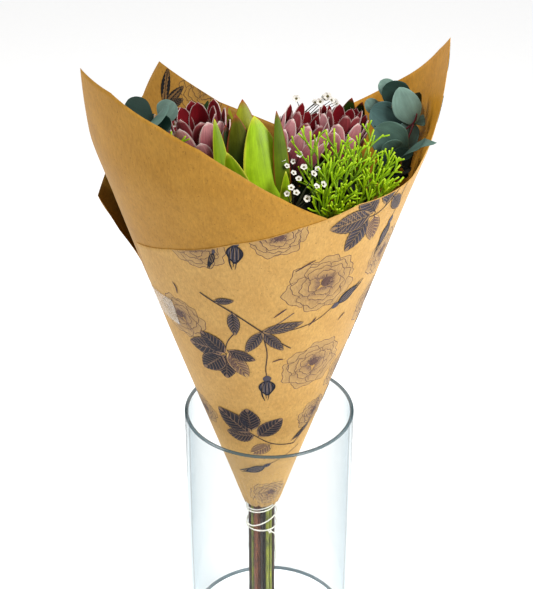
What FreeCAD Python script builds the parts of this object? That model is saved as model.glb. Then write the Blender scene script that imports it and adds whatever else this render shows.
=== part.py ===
"""A bouquet in a printed paper cone, standing in a clear glass cylinder vase.

Millimetres, +Z up, origin at the middle of the vase's underside.
Three things come apart: the vase, the paper wrap that sits in it, and the
tied flowers that the wrap holds. Every stem, head, sheet and tie is its own
piece, and all sizes come from the spreadsheet "Sizes".
"""

import FreeCAD, Part
import math
import os
import Sketcher

os.makedirs("parts", exist_ok=True)

# ---------------------------------------------------------------- driving dimensions

SIZES = {
    # glass vase
    "vase_radius": 75.0,
    "vase_height": 250.0,
    "vase_wall": 3.5,
    "vase_floor": 8.0,
    "lip_fillet": 1.2,
    "base_fillet": 2.5,
    # paper wrap: two nested sheets rolled into a cone; every height from here on is
    # measured from the vase's rim, so a taller vase gets longer flowers
    "wrap_offset": -7.0,        # the bouquet stands a little left of the vase's axis
    "cone_apex": -150.0,        # height at which the cone's sides would meet
    "cone_slope": 0.325,        # growth in radius for each unit of height
    "brim_slope": 0.15,         # the tall corners stand steeper than the cone
    "brim_start": 265.0,
    "paper_bottom": -97.0,
    "paper_top": 342.0,
    "paper_sheet": 0.4,
    "paper_gap": 0.15,
    # upper edge of the outer sheet, from the front: x and z of its turns
    "outer_low_end": 178.0,
    "outer_left_bend": 103.0,
    "outer_left_rise": 191.0,
    "outer_front_bend": 22.0,
    "outer_front_rise": 238.0,
    "outer_right_bend": 107.0,
    "outer_right_rise": 249.0,
    "right_tip_reach": 136.0,
    "right_tip_rise": 335.0,
    "outer_back_bend": 64.0,
    "outer_back_rise": 241.0,
    "outer_back_low": 195.0,
    # upper edge of the inner sheet
    "left_tip_reach": 138.0,
    "left_tip_rise": 339.0,
    "left_tip_foot": 253.0,
    "inner_shoulder_bend": 75.0,
    "inner_shoulder_rise": 317.0,
    "inner_front_bend": 40.0,
    "inner_front_rise": 243.0,
    "inner_low_end": 185.0,
    "inner_left_notch": 224.0,
    "back_corner_reach": 93.0,
    "back_corner_rise": 281.0,
    "inner_back_bend": 45.0,
    "inner_back_rise": 240.0,
    # clear tape that holds the outer sheet's end
    "tape_low": 120.0,
    "tape_high": 147.0,
    "tape_sheet": 0.1,
    "tape_lift": 0.05,
    "tape_angle": 20.0,
    "tape_turn": -156.5,
    # bundle of stems
    "stem_gap": 0.3,            # free space between neighbouring stems
    "stem_foot_gap": 0.3,       # stem ends above the vase's floor
    "bend_height": -110.0,      # stems run straight up to here, then fan out
    "bend_radius": 80.0,
    "protea_stem": 5.0,
    "leucadendron_stem": 4.4,
    "eucalyptus_stem": 3.8,
    "greenery_stem": 3.4,
    "filler_stem": 2.4,
    # flower heads
    "bract_wall": 4.0,
    "bract_floor": 12.0,
    "floret_gap": 0.4,
    # string
    "string_thick": 1.3,
    "string_gap": 0.15,
    "string_upper": -104.0,     # heights of three of the four turns on the bundle's axis
    "string_second": -107.0,
    "string_lower": -129.0,
    "upper_tilt": 12.0,         # how steeply each turn rises to the right
    "second_tilt": 14.0,
    "loop_tilt": 24.0,
    "loop_gap": 0.5,            # from the lowest turn to the loop's low side
    "knot_long": 2.2,           # half sizes of the knot under the lowest turn
    "knot_deep": 0.9,
    "knot_high": 1.6,
    "knot_drop": 0.3,
    "knot_turn": -57.0,
}

# Each plant: name, kind, place in the bundle's hexagon grid, place of the head's base
# from the bundle's axis (x, y) and above the vase's rim, head radius and head height.
PLANTS = [
    ("protea_left", "protea", (-1, 0), (-44, 12, 207), 28, 74),
    ("protea_middle", "protea", (0, 0), (17, 10, 213), 22, 70),
    ("protea_right", "protea", (1, 0), (58, 27, 213), 22, 70),
    ("leucadendron_front", "leucadendron", (0, -1), (-1, -44, 205), 14, 82),
    ("leucadendron_side", "leucadendron", (0, -2), (-30, -40, 212), 12, 70),
    ("leucadendron_back_left", "leucadendron", (-1, 2), (-18, 68, 200), 12, 68),
    ("leucadendron_back_right", "leucadendron", (0, 2), (58, 74, 200), 12, 70),
    ("eucalyptus_left", "eucalyptus", (-2, 0), (-90, 3, 235), 17, 48),
    ("eucalyptus_right", "eucalyptus", (1, 1), (102, 28, 245), 19, 52),
    ("eucalyptus_front", "eucalyptus", (2, 0), (100, -14, 220), 14, 45),
    ("feather_foliage_front", "greenery", (2, -2), (50, -60, 212), 20, 62),
    ("feather_foliage_side", "greenery", (2, -1), (84, -42, 212), 16, 58),
    ("feather_foliage_left", "greenery", (-1, -1), (-76, -24, 212), 11, 45),
    ("dark_greenery", "greenery", (-2, 2), (-54, 62, 205), 14, 60),
    ("filler_front", "filler", (1, -2), (22, -66, 215), 9, 28),
    ("filler_middle", "filler", (1, -1), (28, -30, 225), 8, 32),
    ("filler_left", "filler", (-2, 1), (-78, 38, 230), 9, 28),
    ("filler_back", "filler", (0, 1), (30, 58, 238), 9, 30),
]
HEAD_NAMES = {
    "protea": "bracts",
    "leucadendron": "leaves",
    "eucalyptus": "leaves",
    "greenery": "tuft",
    "filler": "flowers",
}
# Outline of each kind of head: share of the head's radius at shares of its height.
OUTLINES = {
    "leucadendron": [(0.55, 0.12), (0.95, 0.35), (1.0, 0.55), (0.75, 0.82), (0.2, 1.0)],
    "eucalyptus": [(0.7, 0.12), (1.0, 0.4), (0.95, 0.65), (0.6, 0.92), (0.25, 1.0)],
    "greenery": [(0.45, 0.12), (0.8, 0.4), (1.0, 0.7), (0.8, 0.93), (0.4, 1.0)],
    "filler": [(0.6, 0.2), (1.0, 0.5), (0.85, 0.8), (0.35, 1.0)],
}
# The same shares for a protea: its cup of bracts is widest at the waist, and its core of
# florets fills the cup and rises out of it.
CUP_FOOT = (0.75, 0.16)
CUP_WAIST = (1.0, 0.45)
CUP_RIM = (0.92, 0.85)
CORE_SHOULDER = (0.85, 0.75)
CORE_CROWN = (0.4, 0.95)

# The loose end of the string, from inside the knot to its cut end: places from the
# bundle's axis (x, y) and heights above the lowest turn.
TAIL = [
    (8.6, -11.3, -2.8), (10.8, -9.6, -4.8), (12.5, -7.6, -9.0), (13.1, -6.2, -16.5),
    (12.8, -6.9, -26.0), (13.2, -6.0, -35.0), (12.9, -6.8, -43.0),
]
BEND_SHARE = 0.45               # share of the shorter run that each bend takes up
THROUGH_ALL = 1                 # the kind of pocket that cuts right through

for plant, _, _, head, reach, tall in PLANTS:
    SIZES[plant + "_x"] = float(head[0])
    SIZES[plant + "_y"] = float(head[1])
    SIZES[plant + "_base"] = float(head[2])
    SIZES[plant + "_reach"] = float(reach)
    SIZES[plant + "_tall"] = float(tall)

# ---------------------------------------------------------------- document and helpers

doc = FreeCAD.newDocument("wrapped_bouquet")
sheet = doc.addObject("Spreadsheet::Sheet", "Sizes")
for row, (alias, number) in enumerate(SIZES.items(), start=1):
    sheet.set("A%d" % row, alias)
    sheet.set("B%d" % row, repr(number))
    sheet.setAlias("B%d" % row, alias)
doc.recompute()


class Term:
    """A number together with the spreadsheet formula that gives it."""

    def __init__(self, number, formula):
        self.number = float(number)
        self.formula = formula

    def __add__(self, other):
        other = term(other)
        return Term(self.number + other.number, "(%s + %s)" % (self.formula, other.formula))

    def __sub__(self, other):
        other = term(other)
        return Term(self.number - other.number, "(%s - %s)" % (self.formula, other.formula))

    def __mul__(self, other):
        other = term(other)
        return Term(self.number * other.number, "(%s * %s)" % (self.formula, other.formula))

    def __truediv__(self, other):
        other = term(other)
        return Term(self.number / other.number, "(%s / %s)" % (self.formula, other.formula))

    def __radd__(self, other):
        return term(other) + self

    def __rsub__(self, other):
        return term(other) - self

    def __rmul__(self, other):
        return term(other) * self

    def __neg__(self):
        return Term(-self.number, "(0 - %s)" % self.formula)


def term(value):
    """A Term as it is, or a plain number as a Term."""
    if isinstance(value, Term):
        return value
    return Term(value, "(%r)" % float(value))


def size(alias):
    return Term(sheet.get(alias), "Sizes." + alias)


def level(alias):
    """A height that the spreadsheet gives above the vase's rim."""
    return size("vase_height") + size(alias)


def root(value):
    return Term(math.sqrt(value.number), "sqrt(%s)" % value.formula)


def bearing(across, along):
    """The angle in degrees whose tangent is across over along."""
    degrees = math.degrees(math.atan2(across.number, along.number))
    return Term(degrees, "atan2(%s; %s)" % (across.formula, along.formula))


def cosine(degrees):
    return Term(math.cos(math.radians(degrees.number)), "cos(%s)" % degrees.formula)


def sine(degrees):
    return Term(math.sin(math.radians(degrees.number)), "sin(%s)" % degrees.formula)


def tangent(degrees):
    return sine(degrees) / cosine(degrees)


def bind(item, path, value):
    item.setExpression(path, term(value).formula)


def new_body(label):
    body = doc.addObject("PartDesign::Body", label)
    body.Label = label
    return body


def new_sketch(body, name, role):
    """A sketch on one of the body's own origin planes."""
    sketch = body.newObject("Sketcher::SketchObject", name)
    plane = next(item for item in body.Origin.OriginFeatures if item.Role == role)
    sketch.AttachmentSupport = [(plane, "")]
    sketch.MapMode = "FlatFace"
    return sketch


def axis_of(body, role):
    return next(item for item in body.Origin.OriginFeatures if item.Role == role)


def fix_point(sketch, edge, point, place):
    """Hold a sketch point at a pair of Terms from the sketch's origin."""
    for kind, value in zip(("DistanceX", "DistanceY"), place):
        value = term(value)
        index = sketch.addConstraint(Sketcher.Constraint(kind, -1, 1, edge, point, value.number))
        sketch.setExpression("Constraints[%d]" % index, value.formula)


def draw_outline(sketch, points):
    """A closed outline of straight edges whose corners are pairs of Terms."""
    corners = [FreeCAD.Vector(term(x).number, term(y).number, 0) for x, y in points]
    count = len(corners)
    for index in range(count):
        sketch.addGeometry(Part.LineSegment(corners[index], corners[(index + 1) % count]))
    for index in range(count):
        sketch.addConstraint(Sketcher.Constraint("Coincident", index, 2, (index + 1) % count, 1))
    for index, place in enumerate(points):
        fix_point(sketch, index, 1, place)


def turn_outline(body, points, angle=360):
    """Turn an outline of (radius, height) pairs about the body's Z axis."""
    sketch = new_sketch(body, body.Name + "_outline", "XZ_Plane")
    draw_outline(sketch, points)
    turned = body.newObject("PartDesign::Revolution", body.Name + "_turned")
    turned.Profile = sketch
    turned.ReferenceAxis = (axis_of(body, "Z_Axis"), [""])
    bind(turned, "Angle", angle)
    return turned


# ---------------------------------------------------------------- shared places

wrap_x = size("wrap_offset")
stem_foot = size("vase_floor") + size("stem_foot_gap")
stem_pitch = size("protea_stem") + size("stem_gap")
# the string goes round the outermost ring of the stems' hexagon grid
bundle_radius = 2 * stem_pitch + size("protea_stem") / 2
string_radius = bundle_radius + size("string_gap") + size("string_thick")


def paper_radius(height, inset):
    """The wrap's radius at a height up to where its brim starts."""
    return size("cone_slope") * (height - level("cone_apex")) - inset


def brim_radius(inset):
    """The wrap's radius at its highest point, above the change of slope."""
    rise = level("paper_top") - level("brim_start")
    return paper_radius(level("brim_start"), inset) + size("brim_slope") * rise


# ---------------------------------------------------------------- vase


def make_vase():
    """A thick-floored glass cylinder with a rounded lip."""
    body = new_body("vase")
    outside = size("vase_radius")
    inside = outside - size("vase_wall")
    floor = size("vase_floor")
    high = size("vase_height")
    points = [(0, 0), (outside, 0), (outside, high), (inside, high), (inside, floor), (0, floor)]
    turned = turn_outline(body, points)
    doc.recompute()

    def ring(feature, radius, height):
        """The name of the feature's round edge at this radius and height."""
        for index, edge in enumerate(feature.Shape.Edges, start=1):
            curve = edge.Curve
            if not isinstance(curve, Part.Circle):
                continue
            same_radius = abs(curve.Radius - radius.number) < 0.01
            if same_radius and abs(curve.Center.z - height.number) < 0.01:
                return "Edge%d" % index
        raise ValueError("the vase has no edge of radius %g" % radius.number)

    lip = body.newObject("PartDesign::Fillet", "vase_lip")
    lip.Base = (turned, [ring(turned, outside, high), ring(turned, inside, high)])
    bind(lip, "Radius", size("lip_fillet"))
    doc.recompute()
    base = body.newObject("PartDesign::Fillet", "vase_base")
    base.Base = (lip, [ring(lip, outside, term(0)), ring(lip, inside, floor)])
    bind(base, "Radius", size("base_fillet"))


# ---------------------------------------------------------------- paper wrap


def make_paper(label, inset, front_edge, back_edge):
    """One sheet of the cone, with its upper edge cut to shape on each side."""
    body = new_body(label)
    bottom = level("paper_bottom")
    knee = level("brim_start")
    top = level("paper_top")
    inner = inset + size("paper_sheet")
    turn_outline(body, [
        (paper_radius(bottom, inner), bottom),
        (paper_radius(bottom, inset), bottom),
        (paper_radius(knee, inset), knee),
        (brim_radius(inset), top),
        (brim_radius(inner), top),
        (paper_radius(knee, inner), knee),
    ])
    wide = 2 * brim_radius(inset)
    for side, edge in (("front", front_edge), ("back", back_edge)):
        sketch = new_sketch(body, "%s_%s_edge" % (label, side), "XZ_Plane")
        left, right = edge[0], edge[-1]
        ends_left = [(-wide, top + wide), (-wide, left[1])]
        ends_right = [(wide, right[1]), (wide, top + wide)]
        draw_outline(sketch, ends_left + edge + ends_right)
        cut = body.newObject("PartDesign::Pocket", "%s_%s_cut" % (label, side))
        cut.Profile = sketch
        cut.Type = THROUGH_ALL
        cut.Reversed = side == "front"
    bind(body, "Placement.Base.x", wrap_x)


def make_outer_paper():
    """The sheet with the print outside; its tall corner stands at the right."""
    low = level("outer_low_end")
    tip = (size("right_tip_reach") - wrap_x, level("right_tip_rise"))
    front = [
        (-size("left_tip_reach"), low),
        (-size("outer_left_bend") - wrap_x, level("outer_left_rise")),
        (size("outer_front_bend") - wrap_x, level("outer_front_rise")),
        (size("outer_right_bend") - wrap_x, level("outer_right_rise")),
        tip,
    ]
    back = [
        (-size("left_tip_reach"), low),
        (-size("outer_left_bend"), level("outer_back_low")),
        (size("outer_back_bend") - wrap_x, level("outer_back_rise")),
        tip,
    ]
    make_paper("outer_paper", term(0), front, back)


def make_inner_paper():
    """The sheet with the print inside; tall corners at the left and the back."""
    low = level("inner_low_end")
    tip = (-size("left_tip_reach") - wrap_x, level("left_tip_rise"))
    front = [
        (-size("left_tip_reach") - wrap_x, level("left_tip_foot")),
        tip,
        (-size("inner_shoulder_bend") - wrap_x, level("inner_shoulder_rise")),
        (size("inner_front_bend") - wrap_x, level("inner_front_rise")),
        (size("right_tip_reach"), low),
    ]
    back = [
        (-size("left_tip_reach") - wrap_x, level("inner_left_notch")),
        (-size("outer_left_bend") - wrap_x, level("inner_left_notch")),
        (-size("back_corner_reach") - wrap_x, level("back_corner_rise")),
        (-size("inner_back_bend") - wrap_x, level("inner_back_rise")),
        (size("right_tip_reach"), low),
    ]
    inset = size("paper_sheet") + size("paper_gap")
    make_paper("inner_paper", inset, front, back)


def make_tape():
    """A strip of clear tape over the outer sheet's end, low on the left."""
    body = new_body("clear_tape")
    low = level("tape_low")
    high = level("tape_high")
    near = -size("tape_lift")
    far = near - size("tape_sheet")
    turn_outline(body, [
        (paper_radius(low, near), low),
        (paper_radius(low, far), low),
        (paper_radius(high, far), high),
        (paper_radius(high, near), high),
    ], size("tape_angle"))
    bind(body, "Placement.Base.x", wrap_x)
    bind(body, "Placement.Rotation.Yaw", size("tape_turn"))


# ---------------------------------------------------------------- plants


def grid_place(site):
    """A place in the hexagon grid that the bundled stems fill."""
    along, aside = site
    return (stem_pitch * (along + aside / 2), stem_pitch * (aside * math.sqrt(3) / 2))


def make_plant(plant, kind, site):
    """A stem that runs straight up, bends once and fans out to its head."""
    foot_x, foot_y = grid_place(site)
    away_x = size(plant + "_x") - foot_x
    away_y = size(plant + "_y") - foot_y
    reach = root(away_x * away_x + away_y * away_y)
    turn = bearing(away_y, away_x)
    thick = size(kind + "_stem")
    start = level("bend_height")
    bend = size("bend_radius")
    rise = level(plant + "_base") - start
    past = reach - bend
    straight = root(past * past + rise * rise - bend * bend)
    lean = bearing(bend, straight) + bearing(past, rise)

    stem = new_body(plant + "_stem")
    ring = new_sketch(stem, stem.Name + "_ring", "XY_Plane")
    circle = Part.Circle(FreeCAD.Vector(0, 0, 0), FreeCAD.Vector(0, 0, 1), thick.number / 2)
    ring.addGeometry(circle)
    ring.addConstraint(Sketcher.Constraint("Coincident", 0, 3, -1, 1))
    index = ring.addConstraint(Sketcher.Constraint("Diameter", 0, thick.number))
    ring.setExpression("Constraints[%d]" % index, thick.formula)
    bind(ring, "AttachmentOffset.Base.z", stem_foot)

    angle = math.radians(lean.number)
    arc_end = FreeCAD.Vector(
        bend.number * (1 - math.cos(angle)), start.number + bend.number * math.sin(angle), 0
    )
    corner = FreeCAD.Vector(0, start.number, 0)
    low_end = FreeCAD.Vector(0, stem_foot.number, 0)
    high_end = FreeCAD.Vector(reach.number, level(plant + "_base").number, 0)
    centre = FreeCAD.Vector(bend.number, start.number, 0)
    round_part = Part.Circle(centre, FreeCAD.Vector(0, 0, 1), bend.number)
    path = new_sketch(stem, stem.Name + "_path", "XZ_Plane")
    path.addGeometry(Part.LineSegment(low_end, corner))
    path.addGeometry(Part.ArcOfCircle(round_part, math.pi - angle, math.pi))
    path.addGeometry(Part.LineSegment(arc_end, high_end))
    path.addConstraint(Sketcher.Constraint("Tangent", 0, 2, 1, 2))
    path.addConstraint(Sketcher.Constraint("Tangent", 1, 1, 2, 1))
    path.addConstraint(Sketcher.Constraint("Vertical", 0))
    fix_point(path, 0, 1, (0, stem_foot))
    fix_point(path, 2, 2, (reach, level(plant + "_base")))
    for kind_of, edge, value in (("DistanceY", (-1, 1, 0, 2), start), ("Radius", (1,), bend)):
        index = path.addConstraint(Sketcher.Constraint(kind_of, *edge, value.number))
        path.setExpression("Constraints[%d]" % index, value.formula)
    pipe = stem.newObject("PartDesign::AdditivePipe", stem.Name + "_pipe")
    pipe.Profile = ring
    pipe.Spine = (path, ["Edge1", "Edge2", "Edge3"])
    bind(stem, "Placement.Base.x", wrap_x + foot_x)
    bind(stem, "Placement.Base.y", foot_y)
    bind(stem, "Placement.Rotation.Yaw", turn)

    def seat(body):
        """Stand a head on the stem's upper end, leaning as the stem does."""
        bind(body, "Placement.Base.x", wrap_x + size(plant + "_x"))
        bind(body, "Placement.Base.y", size(plant + "_y"))
        bind(body, "Placement.Base.z", level(plant + "_base"))
        bind(body, "Placement.Rotation.Yaw", turn)
        bind(body, "Placement.Rotation.Pitch", lean)

    wide = size(plant + "_reach")
    tall = size(plant + "_tall")
    body = new_body("%s_%s" % (plant, HEAD_NAMES[kind]))
    if kind == "protea":
        wall = size("bract_wall")
        deep = size("bract_floor")
        gap = size("floret_gap")
        foot, waist, rim = [
            (share * wide, level * tall) for share, level in (CUP_FOOT, CUP_WAIST, CUP_RIM)
        ]
        turn_outline(body, [
            (0, 0), (thick / 2, 0), foot, waist, rim,
            (rim[0] - wall, rim[1]), (waist[0] - wall, waist[1]),
            (foot[0] - wall, deep + wall), (0, deep),
        ])
        core = new_body(plant + "_florets")
        slim = waist[0] - wall - gap
        shoulder, crown = [
            (share * slim, level * tall) for share, level in (CORE_SHOULDER, CORE_CROWN)
        ]
        turn_outline(core, [
            (0, deep + gap), (foot[0] - wall - gap, deep + wall + gap),
            (slim, waist[1]), shoulder, crown, (0, tall),
        ])
        seat(core)
    else:
        sides = [(share * wide, level * tall) for share, level in OUTLINES[kind]]
        turn_outline(body, [(0, 0), (thick / 2, 0)] + sides + [(0, tall)])
    seat(body)


# ---------------------------------------------------------------- string


def make_string_turn(label, height, tilt):
    """One turn of string that lies round the stems and rises to the right."""
    centre_line = string_radius - size("string_thick") / 2
    loop = doc.addObject("Part::Ellipse", label + "_line")
    bind(loop, "MajorRadius", centre_line / cosine(tilt))
    bind(loop, "MinorRadius", centre_line)
    bind(loop, "Placement.Base.x", wrap_x)
    bind(loop, "Placement.Base.z", height)
    bind(loop, "Placement.Rotation.Pitch", -tilt)
    ring = doc.addObject("Part::Circle", label + "_ring")
    bind(ring, "Radius", size("string_thick") / 2)
    bind(ring, "Placement.Base.x", wrap_x)
    bind(ring, "Placement.Base.y", centre_line)
    bind(ring, "Placement.Base.z", height)
    bind(ring, "Placement.Rotation.Pitch", 90 - tilt)
    turn = doc.addObject("Part::Sweep", label)
    turn.Label = label
    turn.Sections = [ring]
    turn.Spine = (loop, ["Edge1"])
    turn.Solid = True
    turn.Frenet = True


def make_knot():
    """The knot lies against the stems, just under the lowest turn."""
    knot = doc.addObject("Part::Ellipsoid", "string_knot")
    knot.Label = "string_knot"
    out = string_radius - size("string_thick") + size("knot_deep")
    turn = size("knot_turn")
    drop = size("string_thick") / 2 + size("knot_drop") + size("knot_high")
    bind(knot, "Radius1", size("knot_high"))
    bind(knot, "Radius2", size("knot_deep"))
    bind(knot, "Radius3", size("knot_long"))
    bind(knot, "Placement.Base.x", wrap_x + out * cosine(turn))
    bind(knot, "Placement.Base.y", out * sine(turn))
    bind(knot, "Placement.Base.z", level("string_lower") - drop)
    bind(knot, "Placement.Rotation.Yaw", turn)


def make_tail():
    """The string's loose end: straight runs joined by tangent arcs."""
    height = level("string_lower").number
    shift = wrap_x.number
    route = [FreeCAD.Vector(x + shift, y, height + z) for x, y, z in TAIL]
    thick = size("string_thick").number
    edges = []
    bend_radii = []
    start = route[0]
    for before, corner, after in zip(route, route[1:], route[2:]):
        back = before - corner
        ahead = after - corner
        turn = math.pi - back.getAngle(ahead)
        cut = BEND_SHARE * min(back.Length, ahead.Length)
        radius = cut / math.tan(turn / 2)
        bend_radii.append(radius)
        back.normalize()
        ahead.normalize()
        first = corner + back * cut
        last = corner + ahead * cut
        inward = back + ahead
        inward.normalize()
        middle = corner + inward * (radius / math.cos(turn / 2) - radius)
        edges.append(Part.LineSegment(start, first).toShape())
        edges.append(Part.Arc(first, middle, last).toShape())
        start = last
    edges.append(Part.LineSegment(start, route[-1]).toShape())
    wire = Part.Wire(edges)
    ring = Part.Wire(Part.makeCircle(thick / 2, route[0], route[1] - route[0]))
    tail = doc.addObject("Part::Feature", "string_tail")
    tail.Label = "string_tail"
    tail.Shape = wire.makePipeShell([ring], True, False)
    section = math.pi * thick * thick / 4
    print("tail bend radii: " + ", ".join("%.1f" % radius for radius in bend_radii))
    print("tail length %.1f, volume over section %.1f" % (wire.Length, tail.Shape.Volume / section))


def make_string():
    loop_drop = (string_radius - size("string_thick") / 2) * tangent(size("loop_tilt"))
    loop_height = level("string_lower") + size("string_thick") + size("loop_gap") + loop_drop
    make_string_turn("string_upper_turn", level("string_upper"), size("upper_tilt"))
    make_string_turn("string_second_turn", level("string_second"), size("second_tilt"))
    make_string_turn("string_loop_turn", loop_height, size("loop_tilt"))
    make_string_turn("string_lower_turn", level("string_lower"), term(0))
    make_knot()
    make_tail()


# ---------------------------------------------------------------- build and export

make_vase()
make_outer_paper()
make_inner_paper()
make_tape()
for plant, kind, site, *_ in PLANTS:
    make_plant(plant, kind, site)
make_string()
doc.recompute()

failed = [item.Label for item in doc.Objects if {"Invalid", "Error"} & set(item.State)]
if failed:
    raise SystemExit("failed objects: " + ", ".join(failed))

PIECE_TYPES = ("PartDesign::Body", "Part::Sweep", "Part::Ellipsoid", "Part::Feature")
nodes = [item for item in doc.Objects if item.TypeId in PIECE_TYPES]
for node in nodes:
    if node.Shape.isNull() or not node.Shape.isValid() or node.Shape.Volume <= 0:
        raise SystemExit("%s has no sound shape" % node.Label)
for node in nodes:
    node.Shape.exportStep("parts/%s.step" % node.Label)
print("%d nodes" % len(nodes))
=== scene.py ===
"""The looks of a bouquet in printed kraft paper, standing in a glass cylinder vase.

Lengths are millimetres until a mesh is made. +Z is up and -Y is the front of the wrap.
Azimuths are degrees round the wrap's axis from the front, growing to the right.
"""

import math
import random

import bpy
import numpy as np
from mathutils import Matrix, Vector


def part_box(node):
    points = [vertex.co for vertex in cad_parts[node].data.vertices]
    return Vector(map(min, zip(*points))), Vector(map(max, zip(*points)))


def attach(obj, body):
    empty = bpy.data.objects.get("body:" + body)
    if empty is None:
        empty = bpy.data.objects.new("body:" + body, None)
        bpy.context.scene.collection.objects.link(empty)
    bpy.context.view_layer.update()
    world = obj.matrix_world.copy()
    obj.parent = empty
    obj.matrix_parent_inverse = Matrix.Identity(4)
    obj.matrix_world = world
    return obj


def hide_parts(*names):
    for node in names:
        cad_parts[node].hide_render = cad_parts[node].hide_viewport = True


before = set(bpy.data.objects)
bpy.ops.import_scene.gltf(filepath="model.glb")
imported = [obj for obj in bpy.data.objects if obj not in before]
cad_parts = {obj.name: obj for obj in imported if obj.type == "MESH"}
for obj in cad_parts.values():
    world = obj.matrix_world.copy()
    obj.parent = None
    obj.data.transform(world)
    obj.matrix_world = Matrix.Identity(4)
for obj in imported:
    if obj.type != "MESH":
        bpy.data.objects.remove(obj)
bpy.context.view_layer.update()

MM = 0.001
dice = random.Random(11)

# ---------------------------------------------------------------- sizes and places

WRAP_X = -7.0               # the wrap's axis stands a little left of the vase's
APEX = 100.0                # height at which the cone's sides would meet
SLOPE = 0.325
BRIM_SLOPE = 0.15           # the tall corners stand steeper than the cone
BRIM_START = 515.0
BRIM_BLEND = 18.0           # slant distance over which the slope changes
PAPER = 0.25
WALL_GAP = 4.0              # plants stay this far inside the cone, clear of both sheets
WALL_SOFT = 5.0             # and start to bend this far before that
BEND_HEIGHT = 140.0         # stems run straight up to here, then fan out
BEND_RADIUS = 80.0
STRING_THICK = 1.3
VASE_WALL = 3.5
VASE_FLOOR = 8.0
RIM_CLEAR = (1.0, 16.0)     # above the paper's edge, plants are let out between these
RIM_FREE = 40.0             # and may then reach this much further out
SHEET_COLUMNS, SHEET_ROWS = 300, 90
GOLDEN_TURN = 2.39996       # radians between one leaf and the next up a stem
SKY_LIGHT = 0.45            # how strongly the white surroundings light the part

# The string's loose end, from inside the knot to its cut end, in metres.
TAIL = [
    (0.0016, -0.0113, 0.1182), (0.0038, -0.0096, 0.1162), (0.0055, -0.0076, 0.1120),
    (0.0061, -0.0062, 0.1045), (0.0058, -0.0069, 0.0950), (0.0062, -0.0060, 0.0860),
    (0.0059, -0.0068, 0.0780),
]

# Corners of the two sheets' upper edges: azimuth and height, joined by straight cuts.
OUTER_EDGE = [
    (-61, 441), (-36, 455), (-9, 474), (13, 488), (34, 499), (62, 500), (76, 533), (93, 586),
    (101, 570), (110, 551), (127, 521), (146, 491), (195, 458), (239, 445), (252, 437),
]
INNER_EDGE = [
    (-112, 417), (-72.6, 535), (-62, 588.5), (-46, 582), (-29, 567), (-17, 553), (-6, 536),
    (6, 517), (22, 493), (60, 440), (110, 440), (150, 456), (197, 490), (219, 532),
    (229, 509), (270, 461), (273, 405),
]
OUTER_START = (-61.5, -88.0)    # azimuth of the outer sheet's end, at its top and bottom
FLAP_START = 247.0              # the inner sheet's far end curls outwards from here
FLAP_LIFT = 15.0

# ---------------------------------------------------------------- small helpers


def paint(red, green, blue):
    """A screen colour from 0 to 255 as linear light."""
    share = np.array([red, green, blue], float) / 255
    return np.where(share <= 0.04045, share / 12.92, ((share + 0.055) / 1.055) ** 2.4)


def vec(*numbers):
    return np.array(numbers, float)


def unit(v):
    v = np.asarray(v, float)
    return v / np.maximum(np.linalg.norm(v, axis=-1, keepdims=True), 1e-9)


def smooth(low, high, value):
    share = np.clip((np.asarray(value, float) - low) / (high - low), 0, 1)
    return share * share * (3 - 2 * share)


def lerp(a, b, share):
    share = np.asarray(share, float)[..., None]
    return np.asarray(a) * (1 - share) + np.asarray(b) * share


def rounded_path(points, steps=8):
    """A smooth line through a few points."""
    points = np.asarray(points, float)
    ends = np.vstack([2 * points[0] - points[1], points, 2 * points[-1] - points[-2]])
    share = np.linspace(0, 1, steps, endpoint=False)[:, None]
    runs = []
    for a, b, c, d in zip(ends, ends[1:], ends[2:], ends[3:]):
        runs.append(0.5 * (
            2 * b + (c - a) * share + (2 * a - 5 * b + 4 * c - d) * share ** 2
            + (3 * b - a - 3 * c + d) * share ** 3
        ))
    return np.vstack(runs + [points[-1:]])


def grid_faces(rows, columns, start=0, closed=False):
    across = columns if closed else columns - 1
    faces = []
    for row in range(rows - 1):
        for column in range(across):
            a = start + row * columns + column
            b = start + row * columns + (column + 1) % columns
            faces.append((a, b, b + columns, a + columns))
    return faces


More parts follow.
